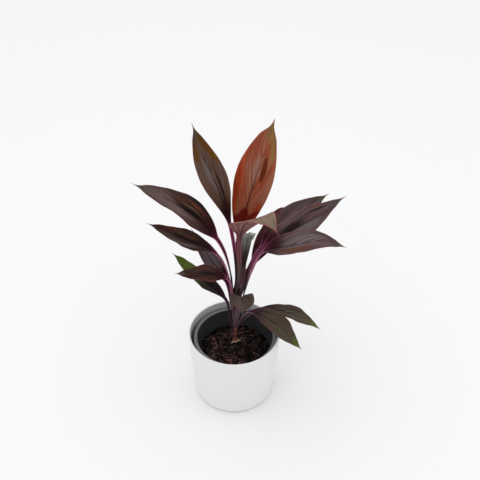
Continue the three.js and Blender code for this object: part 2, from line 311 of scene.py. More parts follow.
class Shader:
    """Short words for the nodes of one material."""

    def __init__(self, name: str) -> None:
        """Starts a material with its one surface shader."""
        self.material = bpy.data.materials.new(name)
        self.material.use_nodes = True
        self.tree = self.material.node_tree
        self.surface = self.tree.nodes["Principled BSDF"]

    def node(self, kind: str, **settings: object) -> bpy.types.Node:
        """Adds a node.

        Args:
            kind: The node's kind, by its name in the node tree.
            settings: Its settings, such as the sum that it does.

        Returns:
            The new node.
        """
        made = self.tree.nodes.new(kind)
        for name, value in settings.items():
            setattr(made, name, value)
        return made

    def feed(self, socket: Socket, value: object) -> None:
        """Links a socket to another, or gives it a plain value.

        Args:
            socket: The socket that is fed.
            value: Another socket, a number, or a tuple for a vector or a colour.
        """
        if isinstance(value, Socket):
            self.tree.links.new(value, socket)
        elif isinstance(value, tuple) and socket.type == "RGBA":
            socket.default_value = (*value, 1)
        else:
            socket.default_value = value

    def finish(self, height: Socket, relief: float, **values: object) -> bpy.types.Material:
        """Feeds the surface, and raises it by a bump.

        Args:
            height: The bump's height, which is about 1 at its highest.
            relief: How high that is, in metres.
            values: What feeds the surface's sockets, named with _ for a space.

        Returns:
            The finished material.
        """
        bump = self.node("ShaderNodeBump")
        self.feed(bump.inputs["Height"], height)
        self.feed(bump.inputs["Distance"], relief)
        for name, value in {**values, "Normal": bump.outputs["Normal"]}.items():
            self.feed(self.surface.inputs[name.replace("_", " ")], value)
        return self.material

    def attribute(self, name: str) -> Socket:
        """Number that the mesh holds at each vertex."""
        return self.node("ShaderNodeAttribute", attribute_name=name).outputs["Fac"]

    def vector(self, name: str) -> Socket:
        """Vector that the mesh holds at each vertex."""
        return self.node("ShaderNodeAttribute", attribute_name=name).outputs["Vector"]

    def place(self) -> Socket:
        """Place in the piece's own frame, in metres."""
        return self.node("ShaderNodeTexCoord").outputs["Object"]

    def math(self, operation: str, first: object, second: object = 0.0, third: object = 0.0) -> Socket:
        """Does one sum on two or three numbers.

        Args:
            operation: The sum.
            first: Its first number or socket.
            second: Its second.
            third: Its third, for a sum that has three.

        Returns:
            The sum's result.
        """
        made = self.node("ShaderNodeMath", operation=operation)
        for socket, value in zip(made.inputs, (first, second, third)):
            self.feed(socket, value)
        return made.outputs[0]

    def around(self, middle: Socket | float, wave: Socket, swing: float) -> Socket:
        """Swings a number about a middle as a wave goes from 0 to 1.

        Args:
            middle: What the number is where the wave is a half.
            wave: The wave, or a noise.
            swing: How far the number goes in all.

        Returns:
            The number.
        """
        linked = isinstance(middle, Socket)
        start = self.math("ADD", middle, -swing / 2) if linked else middle - swing / 2
        return self.math("MULTIPLY_ADD", wave, swing, start)

    def step(self, value: Socket, band: Band, height: float = 1.0) -> Socket:
        """Steps smoothly from 0 to a height.

        Args:
            value: The number at which the step is read.
            band: Where the step starts and ends. It falls where the first is the larger.
            height: How high the step is.

        Returns:
            The step's height at the value.
        """
        made = self.node("ShaderNodeMapRange", interpolation_type="SMOOTHSTEP")
        rises = band[0] < band[1]
        ends = {
            "Value": value, "From Min": min(band), "From Max": max(band),
            "To Min": 0.0 if rises else height, "To Max": height if rises else 0.0,
        }
        for name, end in ends.items():
            self.feed(made.inputs[name], end)
        return made.outputs["Result"]

    def mix(self, share: object, low: object, high: object, blend: str = "MIX") -> Socket:
        """Mixes two colours.

        Args:
            share: How much of the second there is, from 0 to 1.
            low: The first colour.
            high: The second colour.
            blend: How the second is laid on the first.

        Returns:
            The mixed colour.
        """
        made = self.node("ShaderNodeMix", data_type="RGBA", blend_type=blend)
        self.feed(made.inputs["Factor"], share)
        self.feed(made.inputs[6], low)
        self.feed(made.inputs[7], high)
        return made.outputs[2]

    def noise(self, place: Socket, grain: Grain) -> Socket:
        """Reads a noise.

        Args:
            place: The vector at which the noise is read.
            grain: The noise's grain.

        Returns:
            The noise's value, from 0 to 1.
        """
        stretch = self.node("ShaderNodeVectorMath", operation="MULTIPLY")
        self.feed(stretch.inputs[0], place)
        self.feed(stretch.inputs[1], grain.scale)
        made = self.node("ShaderNodeTexNoise")
        values = {"Vector": stretch.outputs[0], "Scale": 1, "Detail": grain.layers, "Roughness": grain.rough}
        for name, value in values.items():
            self.feed(made.inputs[name], value)
        return made.outputs["Fac"]


class Tint(Enum):
    """What a patch on a blade adds to its tone: the leaf's own rust and olive, dark patches that are partly
    painted shade, waxy bloom with painted sheen, and painted shade at the foot.
    """

    RUST = "rust"
    OLIVE = "olive"
    # Dark patches: partly the leaf's own dark blotches and streaks, partly painted shade where other leaves
    # overlap it and near its foot.
    DARK = "dark"
    # Waxy bloom with painted sheen: the grey-mauve light that the leaf's gloss would reflect.
    BLOOM = "bloom"
    # Painted shade, such as the shadow that an overlapping leaf casts on a blade's foot.
    FOOT = "foot"


@dataclass(frozen=True)
class Patch:
    """Soft patch on a blade.

    share is its place along the blade and off its place off the midrib, from -1 to 1. length and width
    are its half sizes in the same measures.
    """

    tint: Tint
    share: float
    off: float
    length: float
    width: float
    strength: float = 1.0

    def depth(self, share: np.ndarray, off: np.ndarray) -> np.ndarray:
        """Strength of the patch at places along the blade and off its midrib."""
        return self.strength * hump(share - self.share, self.length) * hump(off - self.off, self.width)


@dataclass(frozen=True)
class LeafTone:
    """Colours of one leaf, which change with its age. Some are painted light: the foot colour is painted
    shade where the leaves crowd round the cane, the bloom colour is waxy bloom with painted sheen, and the
    dark and channel colours are partly painted shade.
    """

    upper: Colour
    second: Colour
    under: Colour
    # Painted shade: the blade darkens to this colour towards its foot, where the leaves crowd round the cane.
    foot: Colour
    tip: Colour
    foot_to: float = 0.3
    tip_from: float = 0.86
    rust: Colour = (0.11, 0.026, 0.008)
    olive: Colour = (0.085, 0.052, 0.018)
    # Partly the leaf's own near-black, partly painted shade.
    dark: Colour = (0.007, 0.003, 0.003)
    # Waxy bloom with painted sheen, laid where the leaf's gloss would catch the light.
    bloom: Colour = (0.11, 0.078, 0.08)
    margin: Colour = (0.2, 0.05, 0.06)
    rib: Colour = (0.02, 0.006, 0.009)
    stalk: Colour = (0.28, 0.034, 0.11)
    stalk_line: Colour = (0.5, 0.17, 0.3)
    sheath: Colour = (0.1, 0.068, 0.073)
    # The channel's own magenta, darkened as painted shade in its hollow; also the dark lines on the petiole's
    # outer face.
    channel: Colour = (0.04, 0.004, 0.01)
    blotches: float = 0.5


class Tone(Enum):
    """Tones of the leaves, from the oldest and greenest to the youngest. The youngest's glowing red is partly
    its own colour and partly painted glow of light shining through it from behind.
    """

    OLIVE = LeafTone(
        upper=(0.058, 0.037, 0.025), second=(0.074, 0.06, 0.04), under=(0.055, 0.036, 0.028),
        foot=(0.05, 0.026, 0.028), tip=(0.09, 0.115, 0.024), tip_from=0.82,
        rust=(0.085, 0.035, 0.022), olive=(0.085, 0.078, 0.034), bloom=(0.1, 0.085, 0.07),
        margin=(0.12, 0.06, 0.05),
        stalk=(0.13, 0.06, 0.1), stalk_line=(0.3, 0.19, 0.27), sheath=(0.13, 0.088, 0.11),
    )
    TAUPE = LeafTone(
        upper=(0.062, 0.04, 0.032), second=(0.09, 0.062, 0.05), under=(0.05, 0.035, 0.03),
        foot=(0.05, 0.03, 0.03), tip=(0.085, 0.08, 0.045), tip_from=0.95, margin=(0.1, 0.06, 0.055),
        stalk=(0.12, 0.07, 0.09), stalk_line=(0.27, 0.19, 0.25), sheath=(0.14, 0.095, 0.12), blotches=0.2,
    )
    LIME = LeafTone(
        upper=(0.014, 0.012, 0.004), second=(0.028, 0.026, 0.006), under=(0.05, 0.035, 0.03),
        foot=(0.02, 0.009, 0.009), tip=(0.09, 0.135, 0.011), tip_from=0.5, rust=(0.04, 0.018, 0.008),
        olive=(0.08, 0.09, 0.01), bloom=(0.07, 0.07, 0.04), margin=(0.06, 0.05, 0.03), blotches=0.3,
        stalk=(0.07, 0.03, 0.045), stalk_line=(0.11, 0.06, 0.08), sheath=(0.08, 0.045, 0.055),
    )
    BURGUNDY = LeafTone(
        upper=(0.034, 0.01, 0.007), second=(0.06, 0.028, 0.023), under=(0.06, 0.028, 0.032),
        foot=(0.028, 0.003, 0.004), tip=(0.085, 0.075, 0.05), foot_to=0.34, tip_from=0.93,
        bloom=(0.1, 0.066, 0.06),
    )
    MAROON = LeafTone(
        upper=(0.035, 0.004, 0.006), second=(0.055, 0.014, 0.018), under=(0.05, 0.02, 0.022),
        foot=(0.035, 0.002, 0.005), tip=(0.08, 0.09, 0.06), tip_from=0.8,
    )
    SLATE = LeafTone(
        upper=(0.072, 0.04, 0.04), second=(0.108, 0.071, 0.075), under=(0.06, 0.034, 0.04),
        foot=(0.03, 0.003, 0.006), tip=(0.085, 0.085, 0.055), tip_from=0.9, rust=(0.1, 0.035, 0.02),
        dark=(0.016, 0.006, 0.006), bloom=(0.13, 0.097, 0.103),
    )
    BRONZE = LeafTone(
        upper=(0.07, 0.037, 0.025), second=(0.105, 0.066, 0.049), under=(0.06, 0.03, 0.03),
        foot=(0.025, 0.005, 0.005), tip=(0.065, 0.08, 0.04), tip_from=0.91, olive=(0.11, 0.042, 0.004),
        dark=(0.014, 0.005, 0.004), foot_to=0.34, bloom=(0.12, 0.086, 0.078),
    )
    # Young red leaf with painted glow: the light shining through it from behind is painted into its colours.
    EMBER = LeafTone(
        upper=(0.25, 0.055, 0.022), second=(0.27, 0.1, 0.058), under=(0.14, 0.05, 0.04),
        foot=(0.13, 0.004, 0.0), tip=(0.2, 0.14, 0.04), foot_to=0.17, tip_from=0.95,
        rust=(0.3, 0.036, 0.008), olive=(0.24, 0.12, 0.04), dark=(0.11, 0.016, 0.0),
        bloom=(0.3, 0.15, 0.11), margin=(0.42, 0.1, 0.07), rib=(0.07, 0.008, 0.01),
    )
    PALE = LeafTone(
        upper=(0.2, 0.13, 0.1), second=(0.24, 0.18, 0.125), under=(0.19, 0.09, 0.082),
        foot=(0.13, 0.052, 0.056), tip=(0.18, 0.17, 0.1), tip_from=0.88, rust=(0.2, 0.1, 0.08),
        margin=(0.55, 0.13, 0.14), stalk=(0.15, 0.05, 0.056), stalk_line=(0.4, 0.08, 0.12),
        sheath=(0.1, 0.068, 0.066), channel=(0.05, 0.026, 0.024), blotches=0.3,
    )
    SAGE = LeafTone(
        upper=(0.06, 0.056, 0.048), second=(0.115, 0.115, 0.1), under=(0.15, 0.152, 0.135),
        foot=(0.03, 0.018, 0.014), foot_to=0.48, tip=(0.42, 0.41, 0.39), tip_from=0.6,
        margin=(0.5, 0.42, 0.42), stalk=(0.08, 0.04, 0.045), sheath=(0.09, 0.06, 0.062),
        channel=(0.05, 0.03, 0.028),
    )


@dataclass(frozen=True)
class LeafFinish:
    """Waxy leaf: streaks along its veins, soft patches of its own colour and of painted sheen and shade,
    painted shade towards the blade's foot, a thin pale margin and a magenta petiole.

    A grain's waves are counted to a metre across and along the veins. A band is where a step starts and
    ends, and a swing is how far a wave moves what it is laid on.
    """

    name: str
    tone: LeafTone
    veins: float = 46
    streaks: Grain = Grain((100, 9, 1), 4, 0.66)
    fine: Grain = Grain((420, 26, 1), 2)
    clouds: Grain = Grain((16, 13, 1), 3, 0.55)
    blotches: Grain = Grain((30, 17, 1.7), 2)
    cloud_band: Band = (0.36, 0.62)
    blotch_band: Band = (0.5, 0.8)
    patch_band: Band = (0.22, 0.72)
    patch_fray: float = 1.1
    end_fray: float = 0.14
    foot_fade: float = 0.45
    tip_band: Band = (-0.1, 0.04)
    brightness: float = 1.03
    streak_swing: float = 2.2
    fine_swing: float = 0.9
    vein_swing: float = -0.18
    rib_band: Band = (1.6 * MM, 0.6 * MM)
    rib_fade: Band = (0.85, 0.3)
    rib_strength: float = 0.8
    margin_band: Band = (1.1 * MM, 0.35 * MM)
    margin_strength: float = 0.85
    sheath_band: Band = (0.8, 0.5)
    channel_band: Band = (0.62, 0.42)
    channel_strength: float = 0.5
    line_band: Band = (0.5, 0.6)
    line_strength: float = 0.75
    edge_band: Band = (1.1 * MM, 0.3 * MM)
    edge_strength: float = 0.8
    roughness: float = 0.38
    polish_swing: float = 0.24
    specular: float = 0.1
    sheen: float = 0.02
    sheen_roughness: float = 0.45
    vein_relief: float = 0.3
    streak_relief: float = 1.4
    relief: float = 0.35 * MM

    def material(self) -> bpy.types.Material:
        """Makes the material.

        Returns:
            The material, whose nodes read what the leaf's mesh holds.
        """
        shader = Shader(f"leaf_{self.name}")
        place = shader.vector("vein_place")
        streaks, fine = shader.noise(place, self.streaks), shader.noise(place, self.fine)
        angle = shader.math("MULTIPLY", shader.attribute("vein"), 2 * math.pi * self.veins)
        vein = shader.math("MULTIPLY_ADD", shader.math("SINE", angle), 0.5, 0.5)
        blade = self.blade(shader, streaks, fine, vein)
        ridges = shader.math("MULTIPLY", streaks, self.streak_relief)
        return shader.finish(
            shader.math("MULTIPLY_ADD", vein, self.vein_relief, ridges), self.relief,
            Base_Color=shader.mix(shader.attribute("opening"), self.petiole(shader, fine), blade),
            Roughness=shader.around(self.roughness, streaks, self.polish_swing),
            Specular_IOR_Level=self.specular, Sheen_Weight=self.sheen, Sheen_Roughness=self.sheen_roughness,
        )

    def blotched(self, shader: Shader, fray: Socket) -> Socket:
        """Colours the upper face with its clouds, rusty blotches and patches; the patches include painted
        sheen and painted shade.

        Args:
            shader: The material that is being made.
            fray: Noise about 0 that frays every edge along the veins.

        Returns:
            The upper face's colour.
        """
        tone = self.tone
        place = shader.vector("vein_place")
        clouds = shader.step(shader.noise(place, self.clouds), self.cloud_band)
        colour = shader.mix(clouds, tone.upper, tone.second)
        rusty = shader.math("ADD", shader.noise(place, self.blotches), fray)
        colour = shader.mix(shader.step(rusty, self.blotch_band, tone.blotches), colour, tone.rust)
        # The patches lay the leaf's own rust and olive, and painted sheen and painted shade.
        for tint in Tint:
            depth = shader.math("ADD", shader.attribute(f"patch_{tint.value}"), fray)
            colour = shader.mix(shader.step(depth, self.patch_band), colour, getattr(tone, tint.value))
        return colour

    def blade(self, shader: Shader, streaks: Socket, fine: Socket, vein: Socket) -> Socket:
        """Colours the blade on both its faces.

        Args:
            shader: The material that is being made.
            streaks: Broad noise that runs along the veins.
            fine: Fine noise that runs along the veins.
            vein: Wave that is 1 on each vein.

        Returns:
            The blade's colour.
        """
        tone = self.tone
        share = shader.attribute("share")
        fray = shader.around(0, streaks, self.patch_fray)
        colour = shader.mix(shader.attribute("upper_face"), tone.under, self.blotched(shader, fray))
        ragged = shader.math("MULTIPLY_ADD", fray, self.end_fray, share)
        # Painted shade: the blade is darkened towards its foot.
        foot_band = (tone.foot_to, tone.foot_to * self.foot_fade)
        colour = shader.mix(shader.step(ragged, foot_band), colour, tone.foot)
        tip_band = (tone.tip_from + self.tip_band[0], tone.tip_from + self.tip_band[1])
        colour = shader.mix(shader.step(ragged, tip_band), colour, tone.tip)
        shade = shader.around(self.brightness, streaks, self.streak_swing)
        shade = shader.around(shade, fine, self.fine_swing)
        shade = shader.around(shade, vein, self.vein_swing)
        colour = shader.mix(1.0, colour, shade, "MULTIPLY")
        middle = shader.step(shader.attribute("off_rib"), self.rib_band, self.rib_strength)
        middle = shader.math("MULTIPLY", middle, shader.step(share, self.rib_fade))
        colour = shader.mix(middle, colour, tone.rib)
        edge = shader.step(shader.attribute("off_margin"), self.margin_band, self.margin_strength)
        return shader.mix(edge, colour, tone.margin)

    def petiole(self, shader: Shader, fine: Socket) -> Socket:
        """Colours the petiole, from its greyer sheath to its magenta neck.

        Args:
            shader: The material that is being made.
            fine: Fine noise that runs along the petiole.

        Returns:
            The petiole's colour.
        """
        tone = self.tone
        low = shader.step(shader.attribute("stalk_share"), self.sheath_band)
        outer = shader.mix(low, tone.stalk, tone.sheath)
        # Painted shade: the inner face of the channel gets the darkened channel colour.
        inner = shader.mix(shader.step(fine, self.channel_band, self.channel_strength), tone.channel, outer)
        outer = shader.mix(shader.step(fine, self.line_band, self.line_strength), outer, tone.channel)
        colour = shader.mix(shader.attribute("upper_face"), outer, inner)
        edge = shader.step(shader.attribute("off_margin"), self.edge_band, self.edge_strength)
        return shader.mix(edge, colour, shader.mix(low, tone.stalk_line, tone.sheath))


@dataclass(frozen=True)
class PlasticFinish:
    """Moulded plastic with a faint grain, cloudy polish and a little dust. The inside colour goes where the
    mesh marks it: painted shade on the cover pot's inner wall, a painted highlight on the grow pot's lip.
    """

    name: str
    colour: Colour
    # Painted light laid where the mesh marks it: shade on the cover pot's inner wall, a highlight on the grow
    # pot's lip.
    inside: Colour
    dust: Colour
    roughness: float
    relief: float
    dusting: float
    fine: Grain = Grain((1800, 1800, 1800), 2)
    clouds: Grain = Grain((26, 26, 60), 4, 0.6)
    dust_band: Band = (0.42, 0.75)
    polish_swing: float = 0.16

    def material(self) -> bpy.types.Material:
        """Makes the material.

        Returns:
            The material, which reads from its mesh where the inside is.
        """
        shader = Shader(self.name)
        place = shader.place()
        clouds = shader.noise(place, self.clouds)
        colour = shader.mix(shader.step(clouds, self.dust_band, self.dusting), self.colour, self.dust)
        return shader.finish(
            shader.noise(place, self.fine), self.relief,
            Base_Color=shader.mix(shader.attribute("inside"), colour, self.inside),
            Roughness=shader.around(self.roughness, clouds, self.polish_swing),
        )


@dataclass(frozen=True)
class PeatFinish:
    """Damp peat and bark whose crumbs run from near black to reddish brown and straw."""

    name: str = "peat"
    dark: Colour = (0.004, 0.003, 0.0035)
    brown: Colour = (0.07, 0.033, 0.031)
    red: Colour = (0.2, 0.085, 0.078)
    straw: Colour = (0.55, 0.44, 0.35)
    brown_band: Band = (0.3, 0.55)
    red_band: Band = (0.6, 0.82)
    straw_band: Band = (0.94, 1)
    flecks: Grain = Grain((520, 520, 520), 4, 0.65)
    fleck_swing: float = 0.7
    roughness: float = 0.88
    specular: float = 0.1
    fine: Grain = Grain((1500, 1500, 1500), 4, 0.7)
    relief: float = 0.6 * MM

    def material(self) -> bpy.types.Material:
        """Makes the material.

        Returns:
            The material, which reads each crumb's shade from its mesh; towards the front that shade holds
            painted light.
        """
        shader = Shader(self.name)
        place = shader.place()
        shade = shader.attribute("shade")
        flecked = shader.around(shade, shader.noise(place, self.flecks), self.fleck_swing)
        colour = shader.mix(shader.step(flecked, self.brown_band), self.dark, self.brown)
        colour = shader.mix(shader.step(flecked, self.red_band), colour, self.red)
        colour = shader.mix(shader.step(shade, self.straw_band), colour, self.straw)
        return shader.finish(
            shader.noise(place, self.fine), self.relief,
            Base_Color=colour, Roughness=self.roughness, Specular_IOR_Level=self.specular,
        )


@dataclass(frozen=True)
class BarkFinish:
    """Ringed reddish bark of the cane, paler where the roots start."""

    name: str = "cane_bark"
    bark: Colour = (0.17, 0.035, 0.036)
    ring: Colour = (0.5, 0.24, 0.15)
    root: Colour = (0.75, 0.55, 0.36)
    rings: Grain = Grain((150, 150, 900))
    ring_band: Band = (0.5, 0.66)
    fibres: Grain = Grain((1400, 1400, 160))
    fibre_light: float = 0.45
    roughness: float = 0.62
    specular: float = 0.25
    relief: float = 0.4 * MM

    def material(self) -> bpy.types.Material:
        """Makes the material.

        Returns:
            The material, which reads how much root a vertex is from its mesh.
        """
        shader = Shader(self.name)
        place = shader.place()
        rings, fibres = shader.noise(place, self.rings), shader.noise(place, self.fibres)
        colour = shader.mix(shader.step(rings, self.ring_band), self.bark, self.ring)
        colour = shader.mix(shader.attribute("root"), colour, self.root)
        colour = shader.mix(1.0, colour, shader.math("ADD", fibres, self.fibre_light), "MULTIPLY")
        return shader.finish(
            shader.math("ADD", rings, fibres), self.relief,
            Base_Color=colour, Roughness=self.roughness, Specular_IOR_Level=self.specular,
        )


@dataclass(frozen=True)
class Cane:
    """Short cane with the rings of shed leaves, and a crown of pale roots at the soil."""

    centre: Pair = (2, 16)
    radius: float = 2.8
    foot_radius: float = 2.6
    foot_top: float = 98
    foot_taper: float = 3
    low: float = 60.3
    top: float = 192
    top_round: float = 5
    top_least: float = 0.05
    crown: float = 88.5
    crown_high: float = 3.2
    crown_swell: float = 1.3
    crown_knobs: float = 0.7
    knobs: float = 0.25
    knob_wide: float = 2
    knob_high: float = 3
    ring_step: float = 3.4
    ring_swell: float = 0.25
    bark_ends: Band = (1.5, -2.5)
    roots: int = 15
    root_side: Pair = (-45, 60)
    root_radius: Band = (0.4, 0.85)
    root_reach: Band = (2.5, 9)
    root_dive: Band = (4.5, 7.5)
    root_inset: float = 0.6
    root_bend: float = 1.2
    root_curve: float = 1.6
    root_taper: float = 0.55
    root_steps: int = 9
    root_sides: int = 8
    sides: int = 32
    rows: int = 150
    finish: BarkFinish = BarkFinish()

    def stem(self) -> Piece:
        """Builds the stem.

        Returns:
            The stem's piece, which swells at each ring and is knobbly at the crown.
        """
        heights = np.linspace(self.low, self.top, self.rows)[:, None]
        swell = ease(self.foot_top, self.foot_top + self.foot_taper, heights)
        crown = hump(heights - self.crown, self.crown_high)
        radii = self.foot_radius + (self.radius - self.foot_radius) * swell + self.crown_swell * crown
        radii -= self.ring_swell * (1 - np.abs(np.sin(np.pi * heights / self.ring_step)))
        radii *= np.sqrt(np.clip((self.top - heights) / self.top_round + self.top_least, 0, 1))
        angles = once_round(self.sides)
        ring = np.stack([np.cos(angles), np.sin(angles)], axis=-1) * self.knob_wide
        knobs = np.array([
            [noise.noise((*place, height / self.knob_high)) for place in ring] for height in heights[:, 0]])
        reach = radii + knobs * (self.knobs + self.crown_knobs * crown)
        x = self.centre[0] + reach * np.cos(angles)
        y = self.centre[1] + reach * np.sin(angles)
        vertices = np.stack([x, y, heights + 0 * angles], axis=-1).reshape(-1, 3)
        root = ease(self.crown + self.bark_ends[0], self.crown + self.bark_ends[1], heights)
        root = np.repeat(root[:, 0], self.sides)
        return Piece("cane_stem", vertices * MM, tube_faces(self.rows, self.sides), {"root": root})

    def root_piece(self) -> Piece:
        """Builds the roots.

        Returns:
            The roots' piece: short roots that leave the crown and dive into the soil.
        """
        draw = np.random.default_rng(SEED + 2)
        tubes = Tubes(self.root_sides)
        steps = np.linspace(0, 1, self.root_steps)
        for _ in range(self.roots):
            turn = math.radians(draw.normal(*self.root_side))
            out = np.array([math.cos(turn), math.sin(turn)])
            reach = self.radius - self.root_inset + draw.uniform(*self.root_reach) * steps
            flat = np.array(self.centre) + out * reach[:, None]
            flat += np.array([-out[1], out[0]]) * (draw.normal(0, self.root_bend) * steps**2)[:, None]
            height = self.crown - self.root_inset - draw.uniform(*self.root_dive) * steps**self.root_curve
            radii = draw.uniform(*self.root_radius) * (1 - self.root_taper * steps)
            tubes.add(np.column_stack([flat, height]), radii)
        root = np.ones(len(tubes.vertices))
        return Piece("cane_roots", np.array(tubes.vertices) * MM, tubes.faces, {"root": root})

    def build(self) -> None:
        """Builds the cane's pieces and dresses them."""
        material = self.finish.material()
        self.stem().make(material, "cane", "cane")
        self.root_piece().make(material, "cane")


@dataclass
class LeafGrid:
    """Points over both faces of a leaf, and what its finish reads at them.

    share, stalk_share, opening, half (width) and run (length from the cane) are columns with a value for
    each row of points. side and off are rows with a value for each column of points.
    """

    upper: np.ndarray
    lower: np.ndarray
    share: np.ndarray
    stalk_share: np.ndarray
    opening: np.ndarray
    half: np.ndarray
    run: np.ndarray
    side: np.ndarray
    off: np.ndarray


@dataclass(frozen=True)
class LeafForm:
    """Form that all the leaves share, in millimetres, degrees and shares of a length or half width."""

    cane: Cane = Cane()
    cane_gap: float = 0.35
    rise: float = 6
    lean: float = 1
    half_angle: float = 62
    sheath_arc: float = 2
    sheath_angle: float = 46
    sheath_share: float = 0.22
    turn_from: float = 0.1
    roll_from: float = 0.3
    stalk_wall: float = 1
    thickness: float = 0.5
    margin_thickness: float = 0.22
    thin_tip: Band = (0.7, 1)
    tip_thinning: float = 0.5
    rib: float = 1.1
    rib_half: float = 1.5
    groove: float = 0.35
    groove_fade: Band = (1, 0.3)
    margin_fold: float = 0.25
    opens: float = 0.12
    tip_to: float = 0.97
    tip_at: float = 0.985
    tip_half: float = 0.25
    least_bend: float = 0.001
    waves: float = 2.3
    phase: float = 0.3
    flutter: float = 0.3
    flutters: float = 6.1
    flutter_phase: float = 0.37
    pleat: float = 0.22
    pleats: float = 11
    pleat_across: tuple[Band, Band] = ((0.04, 0.3), (1, 0.8))
    pleat_along: tuple[Band, Band] = ((0, 0.12), (1, 0.8))
    vein_lean: float = 0.62
    vein_curve: float = 1.25
    stalk_rows: int = 26
    stalk_crowd: float = 1.3
    blade_rows: int = 96
    half_columns: int = 22
    column_crowd: float = 1.25
    side_shift: float = 0.3
    leaf_shift: float = 7.3

    def columns(self) -> tuple[np.ndarray, np.ndarray]:
        """Side of the midrib and share of the half width of each column of points, both as rows."""
        steps = np.arange(-self.half_columns, self.half_columns + 1)[None, :]
        return np.sign(steps), (np.abs(steps) / self.half_columns) ** self.column_crowd

    def vein(self, share: np.ndarray, off: np.ndarray) -> np.ndarray:
        """Share of the midrib at which the vein through a place leaves it."""
        return share - self.vein_lean * off**self.vein_curve

    def pleats_at(self, share: np.ndarray, off: np.ndarray) -> np.ndarray:
        """Raises the pleats, which fade at the midrib, the margin, the foot and the tip.

        Args:
            share: Share of the blade, a column.
            off: Share of the half width, a row.

        Returns:
            The pleats' height at each row and column.
        """
        pleats = self.pleat * np.sin(2 * np.pi * self.pleats * self.vein(share, off))
        for place, bands in ((off, self.pleat_across), (share, self.pleat_along)):
            for band in bands:
                pleats = pleats * ease(*band, place)
        return pleats


